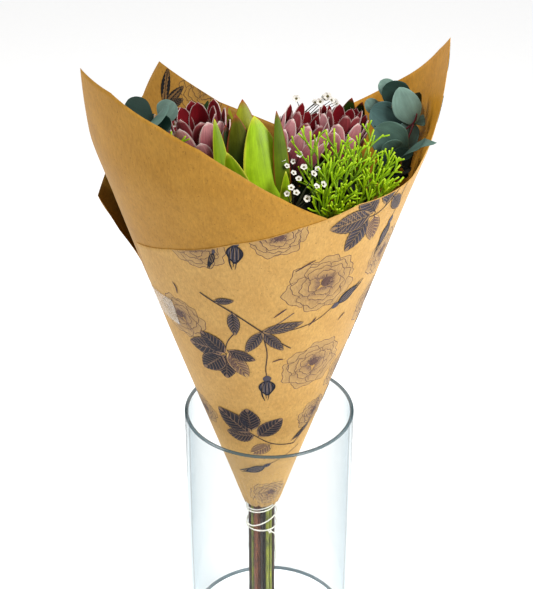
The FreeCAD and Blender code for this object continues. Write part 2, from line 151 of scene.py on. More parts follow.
class Piece:
    """Points, faces and colours gathered for one mesh."""

    def __init__(self):
        self.points = []
        self.tints = []
        self.places = []
        self.faces = []
        self.slots = []
        self.count = 0

    def add(self, points, faces, tint, place=None, slot=0):
        """Points with a colour each, or one for all, and where on the leaf each one is."""
        points = np.asarray(points, float).reshape(-1, 3)
        tint = np.asarray(tint, float)
        tint = np.broadcast_to(tint.reshape(-1, 3), points.shape)
        place = points if place is None else np.asarray(place, float).reshape(-1, 3)
        base = self.count
        self.points.append(points)
        self.tints.append(tint)
        self.places.append(place)
        self.faces += [tuple(base + index for index in face) for face in faces]
        self.slots += [slot] * len(faces)
        self.count += len(points)

    def shell(self, grid, thick, front, back=None, place=None, slots=(0, 0)):
        """A thin closed solid whose middle is a grid of points."""
        rows, columns = grid.shape[:2]
        normal = unit(np.cross(np.gradient(grid, axis=1), np.gradient(grid, axis=0)))
        faces = grid_faces(rows, columns)
        count = rows * columns
        rim = [column for column in range(columns)]
        rim += [row * columns + columns - 1 for row in range(1, rows)]
        rim += [(rows - 1) * columns + column for column in range(columns - 2, -1, -1)]
        rim += [row * columns for row in range(rows - 2, 0, -1)]
        edge = [
            (a, a + count, b + count, b) for a, b in zip(rim, rim[1:] + rim[:1])
        ]
        far = [(a + count, d + count, c + count, b + count) for a, b, c, d in faces]
        back = front if back is None else back
        shape = (rows, columns, 3)
        both = np.stack([grid + normal * thick / 2, grid - normal * thick / 2])
        tints = np.stack([np.broadcast_to(front, shape), np.broadcast_to(back, shape)])
        where = grid if place is None else np.broadcast_to(place, shape)
        where = np.stack([where, where])
        base = self.count
        self.add(both, faces + far + edge, tints, where)
        kinds = [slots[0]] * len(faces) + [slots[1]] * len(far) + [slots[0]] * len(edge)
        self.slots[len(self.slots) - len(kinds):] = kinds
        return base

    def tube(self, path, radii, tint, sides=8, slot=0, mark=0.0, section=None):
        """A closed tube along a path; section gives its radius share at angle and length."""
        path = np.asarray(path, float)
        count = len(path)
        radii = np.broadcast_to(radii, (count,))
        along = unit(np.gradient(path, axis=0))
        runs = np.r_[0, np.cumsum(np.linalg.norm(np.diff(path, axis=0), axis=1))]
        helper = vec(1, 0, 0) if abs(along[0][0]) < 0.8 else vec(0, 1, 0)
        aside = unit(np.cross(along[0], helper))
        turns = np.arange(sides) * 2 * math.pi / sides
        rings = []
        for index in range(count):
            aside = unit(aside - along[index] * np.dot(aside, along[index]))
            other = np.cross(along[index], aside)
            share = 1.0 if section is None else section(turns, runs[index])[:, None]
            ring = np.cos(turns)[:, None] * aside + np.sin(turns)[:, None] * other
            rings.append(path[index] + ring * radii[index] * share)
        points = np.vstack(rings + [path[:1], path[-1:]])
        faces = grid_faces(count, sides, closed=True)
        last = count * sides
        for side in range(sides):
            after = (side + 1) % sides
            faces.append((last, after, side))
            faces.append((last + 1, last - sides + side, last - sides + after))
        tint = np.asarray(tint, float)
        if tint.ndim == 2:
            tint = np.vstack([np.repeat(tint, sides, axis=0), tint[:1], tint[-1:]])
        place = np.zeros((len(points), 3))
        place[:last, 0] = np.tile(turns, count)
        place[:last, 1] = np.repeat(runs, sides)
        place[:, 2] = mark
        self.add(points, faces, tint, place, slot)

    def make(self, name, materials, body, replaced=(), flat=False):
        mesh = bpy.data.meshes.new(name)
        points = np.vstack(self.points)
        mesh.from_pydata([tuple(p) for p in points * MM], [], self.faces)
        tint = mesh.color_attributes.new("tint", "FLOAT_COLOR", "POINT")
        colours = np.ones((len(points), 4), np.float32)
        colours[:, :3] = np.vstack(self.tints)
        tint.data.foreach_set("color", colours.ravel())
        place = mesh.attributes.new("place", "FLOAT_VECTOR", "POINT")
        place.data.foreach_set("vector", np.vstack(self.places).astype(np.float32).ravel())
        for material in materials:
            mesh.materials.append(material)
        mesh.polygons.foreach_set("material_index", self.slots)
        mesh.polygons.foreach_set("use_smooth", [not flat] * len(self.faces))
        mesh.update()
        thing = bpy.data.objects.new(name, mesh)
        bpy.context.scene.collection.objects.link(thing)
        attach(thing, body)
        if replaced:
            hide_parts(*replaced)
        return thing


# ---------------------------------------------------------------- materials


class Look:
    """A material built from a few nodes round one shader."""

    def __init__(self, name, **values):
        self.material = bpy.data.materials.new(name)
        self.material.use_nodes = True
        self.nodes = self.material.node_tree.nodes
        self.links = self.material.node_tree.links
        self.shader = self.nodes["Principled BSDF"]
        for socket, value in values.items():
            self.shader.inputs[socket.replace("_", " ")].default_value = value

    def node(self, kind, settings=(), **inputs):
        node = self.nodes.new(kind)
        for name, value in dict(settings).items():
            setattr(node, name, value)
        for name, value in inputs.items():
            socket = node.inputs[int(name[1:])] if name[1:].isdigit() else node.inputs[name]
            if isinstance(value, bpy.types.NodeSocket):
                self.links.new(value, socket)
            else:
                socket.default_value = value
        return node.outputs

    def attribute(self, name):
        outputs = self.node("ShaderNodeAttribute", {"attribute_name": name})
        return outputs["Color"] if name == "tint" else outputs["Vector"]

    def stretched(self, vector, x, y, z):
        return self.node("ShaderNodeMapping", Vector=vector, Scale=(x, y, z))["Vector"]

    def object_place(self):
        return self.node("ShaderNodeTexCoord")["Object"]

    def noise(self, vector, scale, detail=3.0, rough=0.6):
        return self.node(
            "ShaderNodeTexNoise", Vector=vector, Scale=scale, Detail=detail, Roughness=rough
        )["Fac"]

    def grey(self, value, low, high, dark, light):
        """Turn a value between low and high into one between dark and light."""
        return self.node(
            "ShaderNodeMapRange", **{"Value": value, "From Min": low, "From Max": high,
                                     "To Min": dark, "To Max": light}
        )["Result"]

    def times(self, colour, factor):
        """A colour made darker or lighter by a grey factor or another colour."""
        settings = {"data_type": "RGBA", "blend_type": "MULTIPLY"}
        return self.node("ShaderNodeMix", settings, _0=1.0, _6=colour, _7=factor)[2]

    def mixed(self, share, a, b):
        return self.node("ShaderNodeMix", {"data_type": "RGBA"}, _0=share, _6=a, _7=b)[2]

    def bump(self, height, strength, distance):
        normal = self.node(
            "ShaderNodeBump", Height=height, Strength=strength, Distance=distance
        )["Normal"]
        self.links.new(normal, self.shader.inputs["Normal"])

    def colour(self, value):
        self.links.new(value, self.shader.inputs["Base Color"])

    def roughness(self, value):
        self.links.new(value, self.shader.inputs["Roughness"])


def paper_look(name, warm):
    """Kraft paper: mottled pulp, darker flecks and short fibres, under the ink's colour."""
    look = Look(name, Roughness=0.5, Specular_IOR_Level=0.15)
    place = look.object_place()
    cloud = look.noise(place, 38.0, 4.0, 0.62)
    pulp = look.noise(look.stretched(place, 1.0, 1.0, 0.45), 420.0, 4.0, 0.7)
    fibre = look.noise(look.stretched(place, 1.0, 1.0, 0.16), 900.0, 2.0, 0.55)
    fleck = look.noise(place, 640.0, 1.0, 0.4)
    base = look.mixed(look.grey(cloud, 0.32, 0.68, 0.0, 1.0), (*warm[0], 1), (*warm[1], 1))
    base = look.times(base, look.grey(pulp, 0.3, 0.7, 0.86, 1.12))
    base = look.times(base, look.grey(fibre, 0.35, 0.65, 0.94, 1.06))
    base = look.times(base, look.grey(fleck, 0.22, 0.32, 0.62, 1.0))
    look.colour(look.times(base, look.attribute("tint")))
    look.bump(look.noise(look.stretched(place, 1, 1, 0.4), 700.0, 3.0), 0.12, 0.0004)
    return look.material


def petal_look(name, streak=1.0, sheen=0.12):
    """Silky bracts with fine lengthwise lines."""
    look = Look(name, Roughness=0.6, Sheen_Weight=sheen, Sheen_Roughness=0.4,
                Specular_IOR_Level=0.25)
    place = look.attribute("place")
    lines = look.noise(look.stretched(place, 1.6, 0.06, 1.0), 1.0, 3.0, 0.6)
    blotch = look.noise(look.stretched(place, 0.12, 0.05, 1.0), 1.0, 2.0)
    tint = look.times(
        look.attribute("tint"), look.grey(lines, 0.3, 0.7, 1 - 0.3 * streak, 1 + 0.25 * streak)
    )
    look.colour(look.times(tint, look.grey(blotch, 0.3, 0.7, 0.82, 1.15)))
    look.bump(lines, 0.35, 0.0006)
    return look.material


def leaf_look(name, rough, streak, veins, gloss):
    """A waxy leaf: faint parallel veins, cloudy colour and a soft gloss."""
    look = Look(name, Roughness=rough, Specular_IOR_Level=gloss)
    place = look.attribute("place")
    lines = look.noise(look.stretched(place, 0.9, 0.05, 1.0), 1.0, 3.0, 0.55)
    cloud = look.noise(look.stretched(place, 0.11, 0.07, 1.0), 1.0, 3.0)
    tint = look.times(
        look.attribute("tint"), look.grey(lines, 0.3, 0.7, 1 - 0.16 * streak, 1 + 0.12 * streak)
    )
    look.colour(look.times(tint, look.grey(cloud, 0.3, 0.7, 0.8, 1.18)))
    look.roughness(look.grey(cloud, 0.3, 0.7, rough - 0.06, rough + 0.12))
    look.bump(lines, 0.3 * veins, 0.0006)
    return look.material


def twig_look(name, rough, knobs, grain=1.0):
    """Bark or green skin along a stem."""
    look = Look(name, Roughness=rough)
    place = look.object_place()
    bark = look.noise(look.stretched(place, 1.0, 1.0, 0.14), 900.0, 4.0, 0.65)
    patch = look.noise(look.stretched(place, 1.0, 1.0, 0.5), 160.0, 3.0)
    tint = look.times(
        look.attribute("tint"), look.grey(bark, 0.3, 0.7, 1 - 0.45 * grain, 1 + 0.35 * grain)
    )
    look.colour(look.times(tint, look.grey(patch, 0.3, 0.7, 0.65, 1.3)))
    look.bump(look.noise(look.stretched(place, 1, 1, 0.3), 700.0, 4.0), knobs, 0.001)
    return look.material


def glass_look():
    """Clear thin-walled glass: it bends light little and gleams most at its edges."""
    look = Look("clear_glass", Roughness=0.0, IOR=1.01, **{"Transmission_Weight": 1.0})
    output = look.nodes["Material Output"]
    gleam = look.node("ShaderNodeBsdfGlossy", Color=(0.9, 0.95, 0.98, 1), Roughness=0.03)
    steep = look.node("ShaderNodeLayerWeight", Blend=0.5)["Facing"]
    power = look.node("ShaderNodeMath", {"operation": "POWER"}, _0=steep, _1=5.0)["Value"]
    edge = look.grey(power, 0.0, 1.0, 0.015, 0.85)
    deep = look.node("ShaderNodeMath", {"operation": "POWER"}, _0=steep, _1=3.0)["Value"]
    look.colour(look.mixed(deep, (0.852, 0.868, 0.874, 1), (0.36, 0.45, 0.48, 1)))
    body = look.node("ShaderNodeMixShader", _0=edge, _1=look.shader.outputs[0], _2=gleam[0])
    clear = look.node("ShaderNodeBsdfTransparent", Color=(0.95, 0.965, 0.97, 1))["BSDF"]
    shade = look.node("ShaderNodeLightPath")["Is Shadow Ray"]
    mixed = look.node("ShaderNodeMixShader", _0=shade, _1=body["Shader"], _2=clear)
    look.links.new(mixed["Shader"], output.inputs["Surface"])
    return look.material


def rim_look():
    """The polished lip, where the glass shows its dark blue-green body."""
    look = Look("glass_rim", Roughness=0.08, IOR=1.45, Alpha=0.86)
    look.shader.inputs["Base Color"].default_value = (*paint(58, 84, 92), 1)
    return look.material


def tape_look():
    look = Look("clear_film", Roughness=0.22, Alpha=0.24)
    place = look.object_place()
    creases = look.noise(look.stretched(place, 1, 1, 2), 45.0, 2.0)
    white = look.mixed(
        look.grey(creases, 0.35, 0.65, 0.0, 1.0), (*paint(214, 200, 178), 1),
        (*paint(250, 246, 238), 1)
    )
    look.colour(white)
    look.bump(creases, 0.2, 0.001)
    return look.material


def string_look():
    look = Look("cotton_string", Roughness=0.85, **{"Sheen_Weight": 0.4})
    fuzz = look.noise(look.object_place(), 2600.0, 3.0, 0.7)
    look.colour(look.times(look.attribute("tint"), look.grey(fuzz, 0.3, 0.7, 0.78, 1.08)))
    look.bump(fuzz, 0.5, 0.0004)
    return look.material


# ---------------------------------------------------------------- the rolled cone


def cone_profile():
    """Radius, height and lean of the cone's wall at every millimetre of slant distance."""
    slant = np.arange(0, 640.0)
    knee = math.hypot(SLOPE * (BRIM_START - APEX), BRIM_START - APEX)
    change = smooth(knee - BRIM_BLEND, knee + BRIM_BLEND, slant)
    lean = math.atan(SLOPE) * (1 - change) + math.atan(BRIM_SLOPE) * change
    radius = np.r_[0, np.cumsum(np.sin(lean))[:-1]]
    height = APEX + np.r_[0, np.cumsum(np.cos(lean))[:-1]]
    return slant, radius, height, lean


SLANT, RADIUS, HEIGHT, LEAN = cone_profile()
UNROLL = math.sin(math.atan(SLOPE))     # flat angle for each unit of azimuth


def slant_at(height):
    return np.interp(height, HEIGHT, SLANT)


def ripple(azimuth, slant):
    """Gentle waves of the paper's wall, stronger near its free upper edge."""
    turn = np.radians(azimuth)
    reach = smooth(150, 480, slant)
    waves = 0.9 * np.sin(3 * turn + 0.02 * slant) + 0.5 * np.sin(7 * turn - 0.03 * slant + 1)
    crumple = 0.35 * np.sin(23 * turn + 2) * (1 - smooth(55, 110, slant))
    return waves * reach * 0.8 + crumple


def cone_point(azimuth, slant, lift):
    """The place on the cone's outside, moved outwards by lift."""
    azimuth, slant, lift = np.broadcast_arrays(azimuth, slant, lift)
    lean = np.interp(slant, SLANT, LEAN)
    lift = lift + ripple(azimuth, slant)
    out = np.interp(slant, SLANT, RADIUS) + lift * np.cos(lean)
    high = np.interp(slant, SLANT, HEIGHT) - lift * np.sin(lean)
    turn = np.radians(azimuth)
    return np.stack([WRAP_X + out * np.sin(turn), -out * np.cos(turn), high], axis=-1)


def flat_cut(corners):
    """The slant distance of a cut edge at each azimuth; cuts are straight on flat paper."""
    azimuths = []
    slants = []
    for (turn_a, high_a), (turn_b, high_b) in zip(corners, corners[1:]):
        share = np.linspace(0, 1, 40, endpoint=False)
        a, b = slant_at(high_a), slant_at(high_b)
        angle_a, angle_b = math.radians(turn_a) * UNROLL, math.radians(turn_b) * UNROLL
        x = a * math.sin(angle_a) * (1 - share) + b * math.sin(angle_b) * share
        y = a * math.cos(angle_a) * (1 - share) + b * math.cos(angle_b) * share
        if abs(angle_b) > 1.2:      # past a quarter turn the polar form is followed instead
            azimuths.append(turn_a + (turn_b - turn_a) * share)
            slants.append(a + (b - a) * share)
            continue
        azimuths.append(np.degrees(np.arctan2(x, y)) / UNROLL)
        slants.append(np.hypot(x, y))
    azimuths.append([corners[-1][0]])
    slants.append([slant_at(corners[-1][1])])
    return np.concatenate(azimuths), np.concatenate(slants)


def tucked(points):
    """Points moved inwards to clear the paper's wall; above its upper edge they are free."""
    out = np.hypot(points[..., 0] - WRAP_X, points[..., 1])
    turn = np.degrees(np.arctan2(points[..., 0] - WRAP_X, -points[..., 1]))
    edge = np.zeros_like(out)
    for azimuths, slants in EDGES:
        for lap in (-360, 0, 360):
            reach = np.interp(turn + lap, azimuths, slants, left=0, right=0)
            edge = np.maximum(edge, np.interp(reach, SLANT, HEIGHT))
    wall = np.interp(points[..., 2], HEIGHT, RADIUS) - WALL_GAP
    over = smooth(edge + RIM_CLEAR[0], edge + RIM_CLEAR[1], points[..., 2]) * RIM_FREE
    room = wall + over
    past = np.maximum(out - (room - WALL_SOFT), 0)
    held = room - WALL_SOFT + WALL_SOFT * (1 - np.exp(-past / WALL_SOFT))
    share = np.where(past > 0, held / np.maximum(out, 1e-6), 1.0)
    moved = np.array(points, float)
    moved[..., 0] = WRAP_X + (points[..., 0] - WRAP_X) * share
    moved[..., 1] = points[..., 1] * share
    return moved


class Sheet:
    """One sheet of paper on the cone: its cut edges and how far out it lies."""

    def __init__(self, corners, start, bottom, lift):
        self.azimuths, self.slants = flat_cut(corners)
        self.corners = corners
        self.start = start
        self.bottom = bottom
        self.lift = lift

    def top(self, azimuth):
        return np.interp(azimuth, self.azimuths, self.slants)

    def first(self, slant):
        """Azimuth of the sheet's near end at a slant distance."""
        high, low = self.start
        return np.interp(slant, [self.bottom, self.top(high)], [low, high])

    def place(self, azimuth, slant, raised):
        return cone_point(azimuth, slant, self.lift(azimuth, slant) + raised)


EDGES = [flat_cut(OUTER_EDGE), flat_cut(INNER_EDGE)]


def outer_lift(azimuth, slant):
    return 0 * azimuth * slant


def inner_lift(azimuth, slant):
    """Inside the outer sheet, then outside both at the curled far end."""
    under = -0.55 - 0.5 * smooth(-60, -80, azimuth)
    over = smooth(240, 253, azimuth) * 1.1
    curl = np.clip((azimuth - FLAP_START) / (270 - FLAP_START), 0, 1.1) ** 1.6
    high = smooth(slant_at(396), slant_at(462), slant)
    return under + over + FLAP_LIFT * curl * high


def sheet_grid(sheet, columns, rows):
    """Azimuth and slant distance of a grid whose upper edge keeps every corner."""
    first, last = sheet.corners[0][0], sheet.corners[-1][0]
    turns = np.linspace(first, last, columns)
    for corner, _ in sheet.corners[1:-1]:
        turns[np.abs(turns - corner).argmin()] = corner
    share = np.linspace(0, 1, rows)[:, None]
    top = sheet.top(turns)
    slants = sheet.bottom + share * (top - sheet.bottom)
    near = sheet.first(slants) - sheet.first(top)
    fade = np.clip((last - turns) / (last - first), 0, 1) ** 6
    return turns + near * fade, slants


# ---------------------------------------------------------------- the print

KRAFT = paint(200, 158, 90)
NAVY = paint(10, 12, 30) / KRAFT
SLATE = paint(74, 70, 84) / KRAFT
MAUVE = paint(134, 106, 86) / KRAFT
BLUSH = paint(200, 162, 100) / KRAFT
DUSK = paint(80, 56, 58) / KRAFT
BARE = vec(1.0, 1.0, 1.0)
LAYER = 0.004               # each drawn layer lies this far above the one before


class Print:
    """Ink drawn on the flat sheet, then rolled with it; later shapes lie over earlier."""

    def __init__(self, sheet, side, turn, mirror=1.0):
        self.sheet = sheet
        self.side = side
        self.turn = turn
        self.mirror = mirror
        self.piece = None
        self.layer = 0
        self.shapes = 0

    def start(self, kind):
        """Begin a shape: roses lie lowest, then stems, then leaves and buds, one over another."""
        self.shapes += 1
        self.layer = {"rose": 0, "stem": 66, "leaf": 70 + 5 * (self.shapes % 8)}[kind]

    def fill(self, flat, faces, ink):
        """Flat points with their ink colours, turned about the apex and cut at the edges."""
        flat = np.asarray(flat, float)
        angle = self.mirror * np.arctan2(flat[:, 0], flat[:, 1]) / UNROLL
        azimuth = np.degrees(angle) + self.turn
        slant = np.hypot(flat[:, 0], flat[:, 1])
        top = self.sheet.top(azimuth) - 0.4
        first = self.sheet.first(slant) + 0.3
        last = self.sheet.corners[-1][0] - 0.3
        cut = (slant > top) | (azimuth < first) | (azimuth > last)
        slant = np.clip(slant, self.sheet.bottom + 1, top)
        azimuth = np.clip(azimuth, first, last)
        faces = [face for face in faces if not all(cut[index] for index in face)]
        if not faces:
            return
        raised = self.side * (PAPER / 2 + 0.03 + LAYER * self.layer)
        if self.side * self.mirror < 0:
            faces = [face[::-1] for face in faces]
        used = sorted({index for face in faces for index in face})
        renamed = {index: new for new, index in enumerate(used)}
        faces = [tuple(renamed[index] for index in face) for face in faces]
        ink = np.broadcast_to(ink, (len(flat), 3))[used]
        points = self.sheet.place(azimuth[used], slant[used], raised)
        self.piece.add(points, faces, ink)

    def stroke(self, path, width, ink):
        """A tapering line: width may be one number or one for each point."""
        path = np.asarray(path, float)
        along = unit(np.gradient(path, axis=0))
        aside = np.stack([along[:, 1], -along[:, 0]], axis=1)
        half = np.broadcast_to(np.asarray(width, float) / 2, (len(path),))[:, None]
        flat = np.stack([path - aside * half, path + aside * half], axis=1).reshape(-1, 2)
        faces = [(2 * i, 2 * i + 1, 2 * i + 3, 2 * i + 2) for i in range(len(path) - 1)]
        self.fill(flat, faces, ink)


def pen(count, thick, thin=0.15):
    """Stroke widths that swell in the middle and taper at both ends."""
    return thin + (thick - thin) * np.sin(np.linspace(0.15, math.pi - 0.15, count)) ** 0.7


def draw_leaf(ink, base, tip, width, tone):
    """A toothed rose leaf: a dark edge, and blades of ink between pale veins."""
    ink.start("leaf")
    base, tip = np.asarray(base, float), np.asarray(tip, float)
    along = tip - base
    length = np.linalg.norm(along)
    along /= length
    aside = vec(along[1], -along[0])
    outer = {"dark": NAVY, "slate": NAVY, "tan": DUSK}[tone]
    inner = {"dark": lerp(NAVY, SLATE, 0.25), "slate": SLATE, "tan": MAUVE}[tone]
    backing = {"dark": MAUVE, "slate": lerp(SLATE, BARE, 0.45), "tan": BLUSH}[tone]
    t = np.linspace(0, 1, 19)
    half = width / 2 * np.sin(math.pi * t ** 0.85) ** 0.75
    for grown, colour in ((0.55, outer), (0.0, backing)):
        teeth = 1 + 0.06 * (np.arange(19) % 2) * (grown > 0)
        wide = half * teeth + grown * np.sin(math.pi * t)
        middle = base + along * (t * length)[:, None]
        across = aside * wide[:, None]
        flat = np.stack([middle - across, middle, middle + across], 1)
        ink.fill(flat.reshape(-1, 2), grid_faces(19, 3), colour)
        ink.layer += 1
    veins = 7
    for side in (-1, 1):
        for vein in range(veins):
            low, high = vein / veins + 0.014, (vein + 1) / veins - 0.02
            t = np.linspace(low - 0.008, high + 0.004, 4)[:, None]
            s = np.linspace(0.06, 0.94, 5)[None, :]
            lead = np.clip(t * 0.82 + 0.2 * s, 0, 0.985)
            reach = width / 2 * np.sin(math.pi * lead ** 0.85) ** 0.75 * s
            flat = base + along * (lead * length)[..., None] + aside * (side * reach)[..., None]
            depth = s ** 0.5 * (0.4 + 0.6 * (t - low) / (high - low))
            shade = np.broadcast_to(lerp(outer, inner, depth), (4, 5, 3))
            ink.fill(flat.reshape(-1, 2), grid_faces(4, 5), shade.reshape(-1, 3))
    ink.layer += 1
    spine = base + along * (np.linspace(-0.06, 0.96, 8) * length)[:, None]
    ink.stroke(spine, np.linspace(0.7, 0.2, 8), outer)


def draw_bud(ink, base, tip, width):
    """A closed rose bud: hip, swollen petals and thin sepals."""
    ink.start("leaf")
    base, tip = np.asarray(base, float), np.asarray(tip, float)
    along = tip - base
    length = np.linalg.norm(along)
    along /= length
    aside = vec(along[1], -along[0])
    for start, end, wide, colour in (
        (0.0, 0.34, 0.5, SLATE), (0.24, 0.98, 1.0, NAVY), (0.3, 0.9, 0.78, SLATE),
    ):
        t = np.linspace(0, 1, 11)
        half = width / 2 * wide * np.sin(math.pi * np.clip(t, 0.03, 0.97) ** 0.8) ** 0.8
        middle = base + along * ((start + (end - start) * t) * length)[:, None]
        across = aside * half[:, None]
        flat = np.stack([middle - across, middle, middle + across], 1)
        ink.fill(flat.reshape(-1, 2), grid_faces(11, 3), colour)
        ink.layer += 1
    for sway, reach in ((-0.55, 0.95), (-0.2, 1.22), (0.15, 1.12), (0.5, 1.25)):
        t = np.linspace(0, 1, 9)
        bulge = sway * width * 0.62 * np.sin(math.pi * t * 0.8 + 0.25)
        rise = (0.26 + (reach - 0.26) * t) * length
        path = base + along * rise[:, None] + aside * bulge[:, None]
        ink.stroke(path, pen(9, 1.5 if abs(sway) > 0.3 else 1.0), NAVY)
    ink.layer += 1
    for sway in (-0.22, 0.0, 0.24):
        t = np.linspace(0.34, 0.8, 6)
        path = base + along * (t * length)[:, None] + aside * (sway * width * (1 + 0 * t))[:, None]
        ink.stroke(path, 0.3, lerp(SLATE, BARE, 0.5))


def draw_stem(ink, points, thick, colour=NAVY):
    ink.start("stem")
    path = rounded_path(points, 7)
    ink.stroke(path, np.linspace(thick, thick * 0.7, len(path)), colour)
    ink.layer += 1
    ink.stroke(path + 0.18, np.linspace(thick, thick * 0.7, len(path)) * 0.3,
               lerp(colour, MAUVE, 0.55))


def draw_petal(ink, centre, angle, near, far, spread, depth, dice):
    """One petal: soft shading from its root, creases, and a wavering outline."""
    rings, spokes = 5, 15
    t = np.linspace(0, 1, rings)[:, None]
    a = np.linspace(-1, 1, spokes)[None, :]
    waver = 0.05 * np.sin(a * 5 + dice.uniform(0, 6)) + 0.035 * np.sin(a * 11 + dice.uniform(0, 6))
    reach = far * (1 - 0.2 * np.abs(a) ** 3.2 + waver)
    radius = near + (reach - near) * t
    turn = angle + spread * a * (0.55 + 0.45 * t ** 0.6)
    flat = centre + np.stack([radius * np.cos(turn), radius * np.sin(turn)], axis=-1)
    shade = np.clip(0.12 + depth * ((1 - t) ** 0.8 * 0.8 + 0.4 * np.abs(a) ** 3), 0, 1)
    tint = lerp(BLUSH * 0.97, MAUVE, shade)
    ink.fill(flat.reshape(-1, 2), grid_faces(rings, spokes), tint.reshape(-1, 3))
    ink.layer += 1
    for _ in range(9):
        lean = dice.uniform(-0.85, 0.85)
        root = dice.uniform(0.0, 0.3)
        run = np.linspace(root, root + dice.uniform(0.25, 0.5), 6)
        turn = angle + spread * lean * (0.55 + 0.45 * run)
        radius = near + (far * 0.9 - near) * run
        path = centre + np.stack([radius * np.cos(turn), radius * np.sin(turn)], axis=-1)
        ink.stroke(path, pen(6, 0.4, 0.12), lerp(MAUVE, DUSK, dice.uniform(0.1, 0.8)))
    outline = np.vstack([flat[2:, 0], flat[-1, 1:], flat[1:-1, -1][::-1]])
    ink.layer += 1
    ink.stroke(outline, pen(len(outline), 0.6, 0.15), lerp(DUSK, MAUVE, 0.15))


def draw_rose(ink, centre, radius, turn, dark=1.0):
    """An open garden rose: three rounds of petals about a dark ring of stamens."""
    ink.start("rose")
    local = random.Random(round(centre[0] * 7 + centre[1] * 3))
    centre = np.asarray(centre, float)
    heart = centre + radius * 0.14 * vec(math.cos(turn), math.sin(turn))
    for count, near, far, spread, depth, lag in (
        (6, 0.34, 1.0, 0.66, 0.55, 0.0), (6, 0.3, 0.82, 0.62, 0.75, 0.5),
        (5, 0.2, 0.62, 0.7, 0.9, 0.2), (4, 0.14, 0.45, 0.75, 1.0, 0.7),
    ):
        middle = centre + (heart - centre) * (1 - far)
        for index in range(count):
            angle = turn + (index + lag) * 2 * math.pi / count + local.uniform(-0.12, 0.12)
            draw_petal(ink, middle, angle, near * radius, far * radius * local.uniform(0.94, 1.05),
                       spread, depth * dark, local)
    disc = np.linspace(0, 2 * math.pi, 15)[:-1]
    spokes = np.stack([np.cos(disc), np.sin(disc)], axis=-1) * radius * 0.17
    flat = np.vstack([heart + spokes, heart[None]])
    ink.fill(flat, [(i, (i + 1) % 14, 14) for i in range(14)], lerp(DUSK, MAUVE, 0.3))
    ink.layer += 1
    for _ in range(46):
        angle = local.uniform(0, 2 * math.pi)
        reach = radius * (0.06 + 0.2 * math.sqrt(local.random()))
        spot = heart + reach * vec(math.cos(angle), math.sin(angle))
        size = local.uniform(0.45, 0.85)
        corners = spot + size * np.array([(0.5, 0), (0, 0.5), (-0.5, 0), (0, -0.5)])
        ink.fill(corners, [(0, 1, 2, 3)], lerp(NAVY, SLATE, local.uniform(0, 0.6)))
        if local.random() < 0.5:
            root = heart + 0.3 * (spot - heart)
            ink.stroke(np.linspace(root, spot, 3), 0.22, DUSK)


